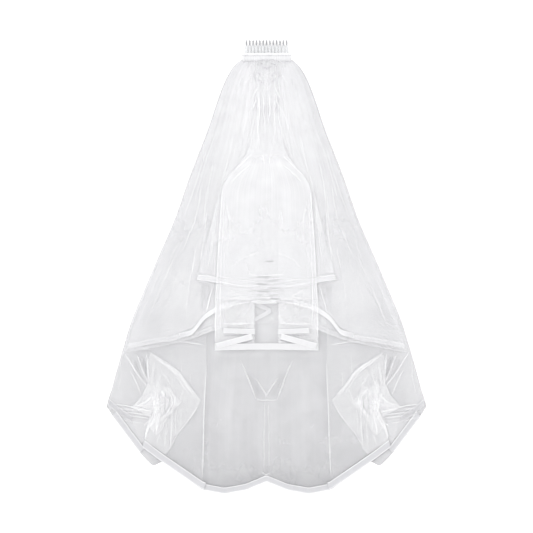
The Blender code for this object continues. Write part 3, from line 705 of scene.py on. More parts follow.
PINCH = np.array((-202.0, 636.0))
KITE = (
    (-214, 541), (-193, 556), (-164, 573), (-149, 597), (-121, 629), (-135, 655), (-153, 677), (-171, 698),
    (-179, 722), (-187, 729), (-224, 706), (-225, 692), (-220, 674), (-217, 660), (-226, 654), (-247, 642),
    (-230, 621), (-219, 599), (-221, 562),
)
CRUMPLE = (
    (-219, 597), (-212, 604), (-203, 590), (-194, 604), (-178, 604), (-170, 618), (-156, 632), (-170, 648),
    (-184, 664), (-192, 684), (-204, 694), (-220, 676), (-213, 660), (-224, 652), (-250, 643), (-229, 620),
)
FLAP_WAVE = 0.3
HEAP_HEIGHT = 12.0
FLAP_PLEATS = (
    Pleat(((-213, 544), (-193, 559), (-165, 576), (-151, 599), (-128, 626)), 6.0, 0.28, 1.0),
    Pleat(((-214, 541), (-193, 555.5), (-164, 572.5), (-149, 596.5), (-122, 628)), 2.2, 0.35, 1.0),
    Pleat(((-210, 548), (-190, 563), (-168, 578), (-157, 600), (-134, 628)), 2.2, 0.28, 1.0),
    Pleat(((-121, 629), (-135, 655), (-153, 677), (-171, 698), (-178, 722)), 2.2, 0.28, 1.0),
    Pleat(((-174, 640), (-175, 680), (-178, 722)), 3.6, 0.22, 1.0),
    Pleat(((-166, 642), (-168, 664), (-168, 690)), 2.6, 0.22, 1.0),
    Pleat(((-184, 668), (-186, 694), (-188, 724)), 3.0, 0.16, 1.0),
    Pleat(((-196, 690), (-200, 700), (-204, 712)), 3.0, 0.24, 1.0),
    Pleat(((-146, 600), (-158, 620), (-160, 640)), 3.0, 0.20, 1.0),
    Pleat(((-198, 575), (-186, 584), (-176, 604)), 4.0, 0.16, 1.0),
    Pleat(((-206, 556), (-210, 580), (-212, 604)), 5.0, 0.18, 1.0),
    Pleat(((-193, 580), (-200, 596), (-206, 608)), 3.0, 0.22, 1.0),
    Pleat(((-226, 676), (-216, 668), (-209, 664)), 3.2, 0.50, 1.0),
    Pleat(((-222, 684), (-217, 674), (-210, 671)), 2.4, 0.45, 1.0),
    Pleat(((-224, 702), (-221, 686), (-212, 672)), 4.0, 0.40, 1.0),
)
# Pleats of low tone here are painted shade in the heap's crumple.
HEAP_PLEATS = (
    Pleat(((-206, 600), (-202, 630), (-204, 668)), 12.0, 0.12, 1.0),
    Pleat(((-214, 612), (-206, 630), (-203, 660)), 6.0, 0.20, 1.0),
    Pleat(((-178, 612), (-166, 628), (-178, 652), (-190, 662)), 2.6, 0.40, 1.0),
    Pleat(((-190, 606), (-176, 618), (-172, 640)), 2.6, 0.35, 1.0),
    Pleat(((-198, 604), (-184, 628), (-160, 636)), 2.4, 0.35, 1.0),
    Pleat(((-188, 660), (-176, 640), (-166, 620)), 2.2, 0.40, 1.0),
    Pleat(((-186, 612), (-188, 640), (-182, 664)), 2.4, 0.30, 0.1),
    Pleat(((-176, 622), (-180, 638), (-176, 652)), 2.4, 0.30, 0.1),
    Pleat(((-194, 664), (-184, 652), (-178, 646)), 2.4, 0.40, 1.0),
    Pleat(((-240, 640), (-222, 632), (-210, 620)), 4.0, 0.30, 1.0),
    Pleat(((-246, 643), (-226, 646), (-208, 650)), 3.4, 0.32, 1.0),
    Pleat(((-204, 690), (-200, 668), (-196, 650)), 4.0, 0.40, 1.0),
    Pleat(((-214, 678), (-208, 664), (-204, 650)), 3.0, 0.40, 1.0),
)


def fanned(side, outline, step, rows):
    """A grid that fans out from the pinch to a straight-edged outline: (x, down, distance, along)."""
    corners = np.array(outline + outline[:1], float)
    ends = np.concatenate([[0], np.cumsum(np.hypot(*np.diff(corners, axis=0).T))])
    marks = np.unique(np.concatenate([np.arange(0, ends[-1], step), ends]))
    rim = np.stack([np.interp(marks, ends, corners[:, axis]) for axis in (0, 1)], axis=-1)
    distance, index = np.meshgrid(np.linspace(0.02, 1, rows + 1), np.arange(len(marks)), indexing="ij")
    x = PINCH[0] + distance * (rim[index, 0] - PINCH[0])
    down = PINCH[1] + distance * (rim[index, 1] - PINCH[1])
    return -side * x, down, distance, 2 * np.pi * marks[index] / ends[-1]


def rays(along, distance, counts, seed):
    """Sharp ridges that run out from the pinch, of several spacings, uneven and bent, from 0 to 1."""
    random = np.random.default_rng(seed)
    total = 0.0
    for count in counts:
        phase, bend = random.uniform(0, 2 * np.pi, 2)
        place = count * along / 2 + phase + 0.8 * np.sin(2 * along + bend) + 1.1 * np.sin(3 * distance + bend)
        total = total + (1 - np.abs(np.sin(place))) ** 1.4
    return total / len(counts)


flap_net = net("nylon_tulle_bunched", "#CFCFD1", "#F3F3F4")
flap_base = float(level_top(1, 0.93 * 292, PINCH[1])) + 2 * GAP + RIBBON_THICK
heap_base = flap_base + CLOTH + 2 * FLAP_WAVE
for side, name in ((-1, "left"), (1, "right")):
    x, down, distance, along = fanned(side, KITE, 4.0, 40)
    ridges = rays(along, distance, (8, 14, 26), 5)
    z = flap_base + (2.2 * FLAP_WAVE + 1.4 * (1 - distance)) * distance * ridges
    cover = 0.24 + 0.10 * (1 - distance) + 0.08 * (ridges - 0.4)
    # Painted highlight: the flap's tone is raised on its ridges.
    flap = cloth_piece(
        f"side_flap_{name}", [(x, down, z, cover, 0.85 + 0.3 * (ridges - 0.4))],
        flap_net, "long_tulle", f"long_tier_flap_{name}",
    )
    x, down, distance, along = fanned(side, CRUMPLE, 3.0, 40)
    ridges = rays(along, distance, (10, 18, 30), 8)
    crown = HEAP_HEIGHT * (1 - distance) ** 1.3
    z = heap_base + crown * 0.9 + 2.4 * ridges * distance * (1 - distance) * 2
    cover = 0.24 + 0.36 * (1 - distance) ** 1.2 + 0.12 * (ridges - 0.4)
    # Painted highlight: the heap's tone is raised on its ridges.
    heap = cloth_piece(
        f"side_heap_{name}", [(x, down, z, cover, 0.84 + 0.25 * (ridges - 0.4))],
        flap_net, "long_tulle", f"long_tier_heap_{name}",
    )
    mirror = (-side,)
    folds = pleats(FLAP_PLEATS, lambda x, down: flap_base + 1.2, 20 + side, mirror)

    def heap_top(x, down):
        """The height of the heap's own crumple over the flap, from its distance to the pinch."""
        away = np.hypot(np.abs(x) + PINCH[0], down - PINCH[1])
        return heap_base + 0.9 * HEAP_HEIGHT * np.clip(1 - away / 38, 0, 1) ** 1.3 + 1.6

    cloth_piece(
        f"heap_folds_{name}",
        folds + pleats(HEAP_PLEATS, heap_top, 30 + side, mirror),
        fold_net, "long_tulle",
    )


# The short tier: a second panel gathered at the same band. Its back layer has a low arched hem, its
# middle layer a higher one and its front layer droops, all spread over the long tier.

SHORT_HEM = ((0.00, 487.0), (0.22, 491.0), (0.38, 500.0), (0.55, 517.0), (0.75, 530.0), (1.00, 542.0))
ARCH_HEM = (
    (0.00, 441.0), (0.20, 444.0), (0.40, 460.0), (0.48, 474.0), (0.55, 497.0), (0.72, 519.0), (1.00, 534.0),
)
FRONT_SECTIONS = ((0, 28), (55, 33), (130, 47), (185, 64), (229, 84), (318, 105), (407, 129), (430, 134))
FRONT_HEM = ((0.0, 424.0), (0.5, 418.0), (0.8, 410.0), (1.0, 407.0))
SHORT_SPREAD, ARCH_SPREAD = 0.985, 0.97
# Pleats of low tone here are painted shade, such as the dark line beside the imported folds.
ARCH_PLEATS = (
    Pleat(((-129, 340), (-134, 374), (-143, 412), (-149, 478)), 2.2, 0.32, 1.0),
    Pleat(((-96, 412), (-105, 441), (-112, 470)), 2.4, 0.45, 1.0),
    Pleat(((-104.5, 274), (-107, 304), (-114, 374)), 3.0, 0.04, 0.0),
    Pleat(((-109, 276), (-113, 312), (-122, 380)), 3.0, 0.22, 1.0),
    Pleat(((-166, 358), (-196, 425), (-229, 504)), 4.0, 0.22, 1.0),
    Pleat(((-193, 382), (-218, 440), (-245, 503)), 3.4, 0.20, 1.0),
    Pleat(((-164, 336), (-172, 360), (-180, 380)), 2.6, 0.22, 1.0),
    Pleat(((-128, 290), (-143, 324), (-157, 360)), 2.6, 0.20, 1.0),
    Pleat(((-150, 366), (-168, 410), (-182, 452)), 2.6, 0.16, 1.0),
    Pleat(((-111, 240), (-112, 268), (-116, 306)), 2.4, 0.22, 1.0),
    Pleat(((-120, 230), (-124, 262), (-134, 306)), 2.4, 0.18, 1.0),
    Pleat(((-98, 190), (-107, 236), (-110, 270)), 2.6, 0.18, 1.0),
    Pleat(((-175, 400), (-204, 452), (-236, 500)), 3.0, 0.12, 0.6),
)
BACK_LAYER_PLEATS = (
    Pleat(((-178, 522), (-150, 521), (-118, 527)), 2.4, 0.40, 1.0),
    Pleat(((-60, 446), (-62, 466), (-63, 484)), 2.6, 0.22, 1.0),
    Pleat(((-132, 507), (-104, 494), (-80, 488)), 2.4, 0.30, 1.0),
    Pleat(((-126, 512), (-100, 498), (-76, 493)), 2.2, 0.30, 1.0),
)
FRONT_PLEATS = (
    Pleat(((-94, 356), (-96, 400), (-98, 417)), 2.2, 0.35, 1.0),
    Pleat(((-89, 250), (-93, 300), (-101, 360), (-112, 396)), 2.4, 0.22, 1.0),
    Pleat(((-93, 262), (-98, 316), (-108, 380)), 2.2, 0.18, 1.0),
    Pleat(((-60, 150), (-84, 229), (-90, 280)), 2.2, 0.20, 1.0),
)
# Painted shade and light on the short tier: the middle layer is painted darker, and hides less, in narrow strips
# beside the imported folds, and lighter over a broad patch further out.
ARCH_PATCHES = (
    Patch(104, 120.5, 414, 466, 2.0, -0.10, -0.30),
    Patch(94, 104, 414, 468, 2.0, -0.05, -0.18),
    Patch(103, 112, 290, 400, 6.0, -0.02, -0.14),
    Patch(140, 205, 385, 465, 30.0, 0.03, 0.15),
)
# Painted light: the back layer is painted lighter, and hides more, near its hem where the layers above shade it.
BACK_LAYER_PATCHES = (Patch(88, 118, 440, 486, 5.0, 0.12, 0.10),)


def spread_layer(columns, rows, width, hem):
    """u, (x, down) of a layer spread to a share of the long tier's width, down to its hem."""
    u, v = grid(columns, rows)
    down = v**1.1 * eased(hem, np.abs(u), 0.02)
    return u, u * width * half_width(LONG_SECTIONS, down), down


def narrow_layer(columns, rows, sections, hem):
    """u, (x, down) of a layer with an outline of its own, down to its hem."""
    u, v = grid(columns, rows)
    down = v * eased(hem, np.abs(u), 0.02)
    return u, u * half_width(sections, down), down


def fan_lines(count, sections, widest, lowest, seed):
    """Faint pressed folds that fan out from the gathers, each along its own share of the outline's width."""
    random = np.random.default_rng(seed)
    lines = []
    for number in range(count):
        share = widest * (number + random.uniform(0.2, 0.9)) / count
        start = random.uniform(30, 160)
        end = start + random.uniform(70, 170)
        steps = np.linspace(start, min(end, lowest), 5)
        widths = half_width(sections, steps)
        bend = random.uniform(-4, 4) * np.sin(np.linspace(0, np.pi, 5))
        points = tuple(zip((-share * widths + bend).tolist(), steps.tolist()))
        width, cover = random.uniform(2.0, 3.4), random.uniform(0.05, 0.14)
        # Some of these lines, at the low tone, are painted shade.
        lines.append(Pleat(points, width, cover, random.choice((0.3, 1.0, 1.0))))
    return tuple(lines)


def back_layer_height(x, down):
    """How high the top of the short tier's back layer stands, its outer edge sunk on the turned side."""
    share = np.abs(x) / (SHORT_SPREAD * half_width(LONG_SECTIONS, down))
    return drooped(level_top(2, x, down), share, 0.85, 3.0)


def arch_layer_height(x, down):
    """How high the top of the short tier's middle layer stands, its outer edge sunk on the back layer."""
    share = np.abs(x) / (ARCH_SPREAD * half_width(LONG_SECTIONS, down))
    return drooped(level_top(3, x, down), share, 0.85, 4.2)


def front_layer_height(x, down):
    """How high the top of the short tier's front layer stands, its outer edge sunk on the middle layer."""
    share = np.abs(x) / half_width(FRONT_SECTIONS, down)
    return drooped(level_top(4, x, down), share, 0.4, arch_layer_height(x, down) + 0.8)


short_net = net("nylon_tulle_stacked", "#CCCCCF", "#F6F6F7")
short_layers = (
    (
        "short_back", back_layer_height, 2, spread_layer(220, 80, SHORT_SPREAD, SHORT_HEM), 15, 21,
        Look(0.11, 0.02, 0.72, 0.08), BACK_LAYER_PLEATS, BACK_LAYER_PATCHES,
    ),
    (
        "short_arch", arch_layer_height, 3, spread_layer(240, 90, ARCH_SPREAD, ARCH_HEM), 17, 33,
        Look(0.15, 0.03, 0.83, 0.09), ARCH_PLEATS + fan_lines(22, LONG_SECTIONS, 0.92, 400, 71), ARCH_PATCHES,
    ),
    (
        "short_front", front_layer_height, 4, narrow_layer(180, 90, FRONT_SECTIONS, FRONT_HEM), 9, 41,
        Look(0.10, 0.03, 0.82, 0.09), FRONT_PLEATS + fan_lines(12, FRONT_SECTIONS, 0.9, 300, 72), (),
    ),
)
short_facts = {
    "short_back": ((0.62, 0.53), 0.17, "short_tier_back"),
    "short_arch": ((0.62, 0.51), 0.16, "short_tier_arch"),
    "short_front": ((0.32, 0.42), 0.085, "short_tier_front"),
}
for name, height, number, (u, x, down), folds, seed, look, lines, patches in short_layers:
    flat, area, replaced = short_facts[name]
    z, cover, tone = dressed(x, down, level(number, x, down), u, folds, seed, (), look)
    z = np.minimum(z, height(x, down) - 2 * NET_THICK)
    more_cover, more_tone = patched(x, down, patches)
    if name == "short_front":
        cover = cover * (1 - 0.6 * np.clip((np.abs(u) - 0.5) / 0.5, 0, 1) * np.clip((270 - down) / 90, 0, 1))
    sheet = (x, down, z, np.clip(cover + more_cover, 0.02, 0.97), tone + more_tone)
    piece = cloth_piece(name, [sheet], short_net, "short_tulle", replaced)
    cloth_piece(f"{name}_folds", pleats(lines, height, seed + 1), fold_net, "short_tulle")


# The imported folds: the middle of the short tier, folded on itself down the veil in a straight-sided
# panel with square shoulders, and its two flaps beneath, which show below the upper fold.

PACKED_SECTIONS = (
    (0, 20), (46, 15), (130, 22), (185, 40), (213, 68), (229, 82), (333, 89), (457, 93), (537, 96),
)
PACKED_LENGTH = 444.0
FLAP_TOP, FLAP_BOTTOM, FLAP_INNER = 240.0, 536.5, 22.0
PACKED_CREASES = (
    Crease(((0, 236), (2, 300), (0, 366)), 15.0, 15.0, -0.26),
    Crease(((-55, 335), (-54, 350), (-58, 366)), 9.0, 9.0, -0.5),
)
# Pleats of low tone here are painted shade in the creases of the imported folds.
PACKED_PLEATS = (
    Pleat(((-81, 227), (-70, 215), (-45, 193), (-20, 168), (-12, 141)), 2.2, 0.30, 1.0),
    Pleat(((-65, 227), (-46, 208), (-30, 195)), 2.2, 0.28, 1.0),
    Pleat(((-12, 141), (-8, 152), (-4, 167)), 2.2, 0.12, 1.0),
    Pleat(((-30, 120), (-26, 146), (-34, 176)), 2.2, 0.20, 1.0),
    Pleat(((-81, 229), (-82, 262), (-85, 310), (-90, 370), (-91.5, 440)), 2.4, 0.34, 1.0),
    Pleat(((-78, 255), (-79, 310), (-84, 380), (-84, 440)), 2.2, 0.24, 1.0),
    Pleat(((-77, 258), (-66, 294), (-66, 330), (-79, 368), (-88, 402)), 3.0, 0.14, 1.0),
    Pleat(((-67, 393), (-55, 372), (-33, 362), (-8, 355)), 4.0, 0.16, 1.0),
    Pleat(((-96, 397), (-70, 403), (-45, 408), (-22, 410)), 2.4, 0.26, 1.0),
    Pleat(((-95, 407), (-70, 414), (-45, 418), (-20, 419)), 3.0, 0.38, 1.0),
    Pleat(((-68, 425), (-56, 432), (-44, 437)), 4.0, 0.40, 1.0),
    Pleat(((-68, 441), (-58, 440), (-44, 436)), 3.0, 0.36, 1.0),
    Pleat(((-68, 427), (-70, 433), (-67, 440)), 3.0, 0.34, 1.0),
    Pleat(((-42, 360), (-36, 388), (-22, 402)), 3.0, 0.12, 1.0),
    Pleat(((-14, 62), (-13, 104), (-17, 132), (-12, 160)), 2.6, 0.55, 1.0),
    Pleat(((-16, 60), (-20, 84), (-30, 96)), 2.4, 0.45, 1.0),
    Pleat(((-12, 48), (-21, 62), (-28, 80)), 2.4, 0.45, 1.0),
    Pleat(((-9, 66), (-3, 80), (-8, 96), (-2, 112), (-7, 130)), 2.4, 0.45, 1.0),
    Pleat(((-7, 84), (-4, 100), (-6, 128)), 2.0, 0.28, 0.0),
    Pleat(((-17, 66), (-20, 78), (-17, 98)), 2.0, 0.26, 0.0),
    Pleat(((0, 22), (0, 38), (0, 62)), 13.0, 0.10, 1.0),
    Pleat(((-7, 24), (-8, 40), (-14, 50)), 4.0, 0.12, 1.0),
    Pleat(((-18, 12), (-11, 8), (-6, 10)), 3.0, 0.22, 0.0),
    Pleat(((-10, 13), (-4, 17), (3, 18)), 2.4, 0.18, 0.0),
    Pleat(((-20, 22), (-23, 32), (-19, 44)), 2.6, 0.22, 0.0),
    Pleat(((-17, 26), (-12, 28), (-9, 33)), 2.4, 0.20, 0.0),
    Pleat(((-18, 38), (-12, 41), (-8, 46)), 2.4, 0.20, 0.0),
    Pleat(((-20, 30), (-13, 35), (-8, 40)), 2.2, 0.20, 1.0),
    Pleat(((-34, 4), (-34, 10), (-35, 17)), 3.0, 0.18, 0.0),
    Pleat(((-28, 26), (-32, 36), (-40, 46)), 2.6, 0.30, 1.0),
    Pleat(((-44, 34), (-48, 44), (-47, 52)), 2.6, 0.25, 0.1),
    Pleat(((-26, 88), (-36, 110), (-44, 140)), 2.6, 0.22, 1.0),
    Pleat(((-20, 100), (-27, 130), (-38, 165)), 2.6, 0.22, 1.0),
    Pleat(((-13, 160), (-6, 178), (-4, 196)), 2.6, 0.12, 1.0),
)
# The low-tone strips between the ruffles are painted shade.
RUFFLE_PLEATS = tuple(
    Pleat(((-22 + 4 * np.sin(2.1 * row), row), (0, row + 2), (25, row - 0.5)), 2.4, 0.34, 1.0)
    for row in (397, 404, 411, 417.5, 424, 431, 438)
) + tuple(
    Pleat(((start, row), (start + reach / 2, row + 1), (start + reach, row)), 2.6, 0.42, 0.0)
    for start, row, reach in (
        (-18, 400.5, 26), (-4, 407.5, 28), (-20, 414, 24), (2, 421, 22), (-16, 427.5, 24), (0, 434.5, 24),
        (6, 441, 18), (-19, 434, 12), (-2, 372, 16),
    )
) + (Pleat(((-27, 446), (0, 448), (26, 445)), 9.0, 0.5, 0.9),)
# Pleats of low tone here are painted shade under the folds' hem.
FLAP_FOLD_PLEATS = (
    Pleat(((-92, 405), (-93, 440), (-95, 522)), 2.6, 0.40, 1.0),
    Pleat(((-84, 408), (-85, 450), (-84, 494)), 2.2, 0.20, 1.0),
    Pleat(((-80, 487), (-50, 488), (-22, 486)), 5.0, 0.30, 1.0),
    Pleat(((-88, 460), (-50, 450), (-24, 446)), 2.4, 0.22, 1.0),
    Pleat(((-80, 509), (-50, 509), (-34, 507)), 3.0, 0.30, 0.0),
    Pleat(((-48, 524), (-34, 520), (-22, 516)), 3.4, 0.35, 0.0),
)
packed_net = net("nylon_tulle_packed", "#C8C8CB", "#F2F2F3")
straight = ((0.0, PACKED_LENGTH), (1.0, PACKED_LENGTH))
u, x, down = narrow_layer(150, 150, PACKED_SECTIONS, straight)
look = Look(0.15, 0.05, 0.80, 0.10)


def packed_height(x, down):
    """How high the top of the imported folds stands, their edges sunk on the front layer."""
    share = np.abs(x) / half_width(PACKED_SECTIONS, down)
    return drooped(level_top(6, x, down), share, 0.4, level_top(4, x, down) + 0.8)


z, cover, tone = dressed(x, down, level(6, x, down), u, 8, 57, PACKED_CREASES, look)
z = np.minimum(z, packed_height(x, down) - 2 * NET_THICK)
# Painted shade: near the top the imported folds hide less and their tone is lowered.
neck = np.clip((195 - down) / 50, 0, 1)
cover, tone = cover * (1 - 0.65 * neck), tone - 0.12 * neck
top = cloth_piece("packed_folds", [(x, down, z, cover, tone)], packed_net, "short_tulle", "packed_top")
cloth_piece(
    "packed_creases",
    pleats(PACKED_PLEATS, packed_height, 81) + pleats(RUFFLE_PLEATS, packed_height, 82, (1,)),
    fold_net, "short_tulle",
)
for side, name in ((-1, "left"), (1, "right")):
    u, v = grid(60, 90)
    down = FLAP_TOP + v * (FLAP_BOTTOM - FLAP_TOP)
    x = side * (FLAP_INNER + (u + 1) / 2 * (half_width(PACKED_SECTIONS, down) - FLAP_INNER))
    z, cover, tone = dressed(x, down, level(5, x, down), u, 3, 63, (), Look(0.12, 0.03, 0.8, 0.1))
    z = drooped(z, (u + 1) / 2, 0.6, level(4, x, down) + 1.0)
    cover = cover + 0.16 * np.clip((down - 425) / 20, 0, 1)
    piece = cloth_piece(
        f"packed_side_{name}", [(x, down, z, cover, tone)], packed_net, "short_tulle",
        f"packed_flap_{name}",
    )
    cloth_piece(
        f"packed_side_folds_{name}",
        pleats(FLAP_FOLD_PLEATS, lambda x, down: level_top(5, x, down), 90 + side, (-side,)),
        fold_net, "short_tulle",
    )


# The ribbon: white polyester satin, 11.5 mm wide, sewn along every edge of both tiers. It lies flat, a
# little wavy from its stitches, and turns over itself where the short tier's edge is folded.

RIBBON = 11.5
Run = namedtuple("Run", "start end")
MIDDLE_RUN, SIDE_RUN, PINCH_RUN = Run(-0.405, 0.405), Run(-0.02, 0.62), Run(0.99, 0.73)
CORNER_RUN, SPREAD_RUN, FRONT_RUN = Run(0.955, 0.78), Run(0.015, 0.985), Run(-0.985, 0.985)
FADE_FROM, FADE_TO, CRUMPLE_HALF = 132.0, 190.0, 48.0

# The ribbon is one white satin in four copies, painted lighter or darker for where they lie, as painted light and
# shade: greyest on the long tier's hem, then the imported folds' hem, then the strips, lifted against the shadow that
# they lie in, and lightest on the short tier.
hem_finish = satin("polyester_satin_painted_grey", ("#C8C8CB", "#BABABD", "#E4E4E6"), 0.2, True)
lifted_satin_finish = satin("polyester_satin_painted_light", ("#DEDEE0", "#D2D2D4", "#EBEBEC"), 0.2, True)
bar_finish = satin("polyester_satin_painted_dimmer", ("#D3D3D5", "#CBCBCD", "#DADADC"), 0.2, True)
arch_finish = satin("polyester_satin_painted_lightest", ("#E2E2E4", "#DADADC", "#F2F2F3"), 0.2, True)


def ribbon_piece(name, outer, inner, z, cover, finish, *nodes):
    """A ribbon between two edges, each an array of (x, down): slightly domed, with thick stitched edges."""
    across = np.linspace(0, 1, 11)[None, :]
    length = np.concatenate([[0], np.cumsum(np.hypot(*np.diff((outer + inner) / 2, axis=0).T))])[:, None]
    x = outer[:, :1] * (1 - across) + inner[:, :1] * across
    down = outer[:, 1:] * (1 - across) + inner[:, 1:] * across
    wave = 0.30 * np.sin(length / 7.0 + 2.0 * across) + 0.22 * np.sin(length / 3.1)
    selvage = 0.35 * (np.exp(-((across / 0.12) ** 2)) + np.exp(-(((1 - across) / 0.12) ** 2)))
    height = z[:, None] + 0.5 + wave * 0.5 + selvage + 0.25 * np.sin(np.pi * across)
    made = cloth_piece(name, [(x, down, height, cover[:, None] + 0 * x, 1.0)], finish, "satin_ribbon", *nodes)
    made.data.uv_layers.remove(made.data.uv_layers["net"])
    place = np.empty(len(made.data.vertices) * 3)
    made.data.vertices.foreach_get("co", place)
    turned = abs(place[0] / MM - x[0, 0]) > 0.01 or abs(TOP_EDGE_Y - place[1] / MM - down[0, 0]) > 0.01
    share, run = across + 0 * x, length + 0 * x
    if turned:
        share, run = share[:, ::-1], run[:, ::-1]
    return with_ribbon_map(made, share.ravel(), run.ravel())


def hem_run(run, count, hem_table, sections, width, lean, number, side):
    """The two edges of a ribbon on a hem, and their height: (outer, inner, z)."""
    share = np.linspace(run.start, run.end, count)
    hem = eased(hem_table, np.abs(share), 0.015)
    x = side * share * width * half_width(sections, hem)
    outer = np.stack([x, hem], axis=-1)
    inner = np.stack([x - side * lean[0], hem - lean[1]], axis=-1)
    return outer, inner, level_top(number, x, hem) + GAP


def faded(x, near, far):
    """A ribbon's cover: near where it shows, and far where it sinks into the net outside and in the middle."""
    outside = np.clip((np.abs(x) - FADE_FROM) / (FADE_TO - FADE_FROM), 0, 1)
    middle = np.clip((CRUMPLE_HALF - np.abs(x)) / 20, 0, 1)
    return (near + (far - near) * outside) * (1 - 0.85 * middle)


hems = [("hem_ribbon_middle", hem_run(MIDDLE_RUN, 140, LONG_HEM, LONG_SECTIONS, 1.0, (0, RIBBON), 0, 1))]
for side, name in ((-1, "left"), (1, "right")):
    for kind, run, count, lean in (
        ("hem_ribbon", SIDE_RUN, 90, (0.3 * RIBBON, RIBBON)),
        ("pinch_ribbon", PINCH_RUN, 50, (0, RIBBON)),
    ):
        share = np.linspace(run.start, run.end, count)
        x, hem = turned_side(side, 2 * share - 1, np.ones_like(share))
        outer = np.stack([x, hem + 3.0], axis=-1)
        inner = np.stack([x - side * lean[0], hem + 1.5 - lean[1]], axis=-1)
        hems.append((f"{kind}_{name}", (outer, inner, level_top(1, x, hem) + GAP)))
    diagonal = (0.72 * RIBBON, 0.72 * RIBBON)
    hems.append(
        (f"corner_ribbon_{name}", hem_run(CORNER_RUN, 60, LONG_HEM, LONG_SECTIONS, 1.0, diagonal, 0, side))
    )
    edge = (0, 0.8 * RIBBON)
    for kind, table, spread, number, near, far in (
        ("short_hem_ribbon", SHORT_HEM, SHORT_SPREAD, 2, 0.26, 0.14),
        ("arch_hem_ribbon", ARCH_HEM, ARCH_SPREAD, 3, 0.80, 0.22),
    ):
        outer, inner, z = hem_run(SPREAD_RUN, 160, table, LONG_SECTIONS, spread, edge, number, side)
        away = np.abs(outer[:, 0])
        sag = 6 * np.clip((195 - away) / 30, 0, 1) + 4 * np.exp(-(((away - 137) / 14) ** 2))
        sag = sag * (kind == "arch_hem_ribbon")
        outer[:, 1] += sag
        inner[:, 1] += sag
        cover = faded(outer[:, 0], near, far)
        ribbon_piece(f"satin_{kind}_{name}", outer, inner, z, cover, arch_finish, f"{kind}_{name}")
for name, (outer, inner, z) in hems:
    cover = np.full(len(z), 0.45 if name.startswith("pinch") else 0.9)
    ribbon_piece(f"satin_{name}", outer, inner, z, cover, hem_finish, name)
outer, inner, z = hem_run(FRONT_RUN, 120, FRONT_HEM, FRONT_SECTIONS, 1.0, (0, 0.9 * RIBBON), 4, 1)
ribbon_piece("satin_front_hem_ribbon", outer, inner, z, np.full(120, 0.50), arch_finish, "front_hem_ribbon")
half_length, arch = 95.5, 1.5
x = np.linspace(-half_length, half_length, 120)
hem = FLAP_BOTTOM - arch * np.cos(np.pi * x / half_length / 2)
outer, inner = np.stack([x, hem], axis=-1), np.stack([x, hem - RIBBON], axis=-1)
z = level_top(5, x, hem) + GAP
ribbon_piece("satin_packed_hem_ribbon", outer, inner, z, np.full(120, 0.97), bar_finish, "packed_hem_ribbon")

Strip = namedtuple("Strip", "name start end width turn base cover")
STRIPS = (
    Strip("zigzag_lower_left", (-93.0, 529.0), (-26.0, 510.5), 10.5, 1, (5, 496.5), 0.85),
    Strip("zigzag_lower_right", (93.0, 529.0), (26.0, 510.5), 10.5, 1, (5, 496.5), 0.85),
    Strip("zigzag_upper_left", (-21.0, 502.0), (-79.0, 500.0), 9.0, 0, (5, 496.5), 0.78),
    Strip("zigzag_upper_right", (21.0, 502.0), (79.0, 500.0), 9.0, 0, (5, 496.5), 0.78),
    Strip("middle_zigzag_upper", (-23.0, 450.0), (8.0, 464.0), 7.0, 0, (2, 450.0), 0.6),
    Strip("middle_zigzag_lower", (8.0, 464.0), (-23.0, 481.0), 7.0, 1, (2, 450.0), 0.6),
    Strip("middle_ruffle_1", (-31.0, 408.0), (30.0, 411.0), 8.0, 0, (6, 400.0), 0.22),
    Strip("middle_ruffle_2", (-26.0, 420.0), (34.0, 418.0), 8.0, 1, (6, 400.0), 0.22),
    Strip("middle_ruffle_3", (-33.0, 433.0), (31.0, 432.0), 8.0, 0, (6, 400.0), 0.22),
)
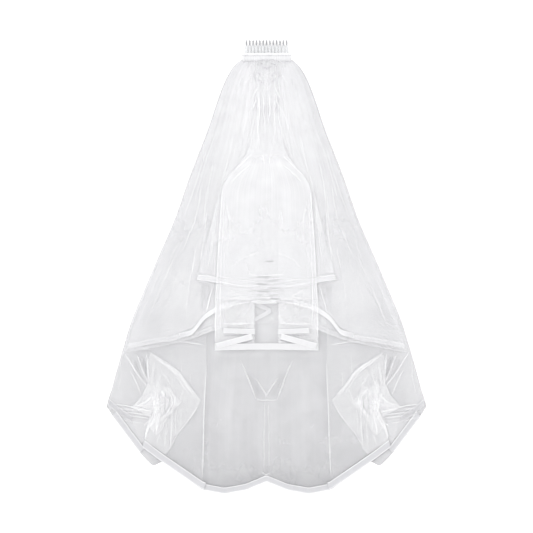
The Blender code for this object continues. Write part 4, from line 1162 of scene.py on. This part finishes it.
for name, start, end, width, turn, (number, place), cover in STRIPS:
    start, end = np.array(start), np.array(end)
    aside = np.array([end[1] - start[1], start[0] - end[0]]) / np.hypot(*(end - start)) * width / 2
    along = np.linspace(0, 1, 40)[:, None]
    middle = start * (1 - along) + end * along
    base = float(level_top(number, 0, place)) + GAP + turn * (RIBBON_THICK + GAP)
    covers = np.full(40, cover)
    edges = middle + aside, middle - aside
    # The strips take the satin painted lighter, against the shadow that they lie in.
    ribbon_piece(f"satin_{name}", *edges, np.full(40, base), covers, lifted_satin_finish, name)


# The table, light and camera: a white table, soft light from all round with a little more from the upper
# left, and a camera straight above, as in the photograph.

FRAME_WIDTH = 533 * 1.85
LENS = 100.0
TABLE_HALF, TABLE_TOP = 6.0, -0.0004

table_mesh = bpy.data.meshes.new("table")
corners = [(x, y, TABLE_TOP) for x, y in ((-TABLE_HALF, -TABLE_HALF), (TABLE_HALF, -TABLE_HALF))]
corners += [(x, y, TABLE_TOP) for x, y in ((TABLE_HALF, TABLE_HALF), (-TABLE_HALF, TABLE_HALF))]
table_mesh.from_pydata(corners, [], [(0, 1, 2, 3)])
table = bpy.data.objects.new("table", table_mesh)
bpy.context.scene.collection.objects.link(table)
table_finish, table_tree, table_shader = new_finish("white_laminate")
table_shader.inputs["Base Color"].default_value = linear("#FBFBFB")
table_shader.inputs["Roughness"].default_value = 0.8
table.data.materials.append(table_finish)

world = bpy.context.scene.world or bpy.data.worlds.new("studio")
bpy.context.scene.world = world
world.use_nodes = True
world.node_tree.nodes["Background"].inputs["Color"].default_value = (1.0, 1.0, 1.0, 1.0)
world.node_tree.nodes["Background"].inputs["Strength"].default_value = 1.32

softbox = bpy.data.lights.new("softbox", "SUN")
softbox.energy = 1.0
softbox.angle = 1.0
softbox_object = bpy.data.objects.new("softbox", softbox)
softbox_object.rotation_euler = (-0.25, -0.38, 0.0)
bpy.context.scene.collection.objects.link(softbox_object)

camera = bpy.data.cameras.new("camera")
camera.lens = LENS
camera_object = bpy.data.objects.new("camera", camera)
distance = FRAME_WIDTH * MM * LENS / camera.sensor_width
camera_object.location = (0.0, 0.0006, distance)
bpy.context.scene.collection.objects.link(camera_object)
bpy.context.scene.camera = camera_object
bpy.context.scene.view_settings.view_transform = "Standard"
bpy.context.scene.cycles.transparent_max_bounces = 64
bpy.context.scene.cycles.max_bounces = 12
bpy.context.scene.cycles.diffuse_bounces = 6
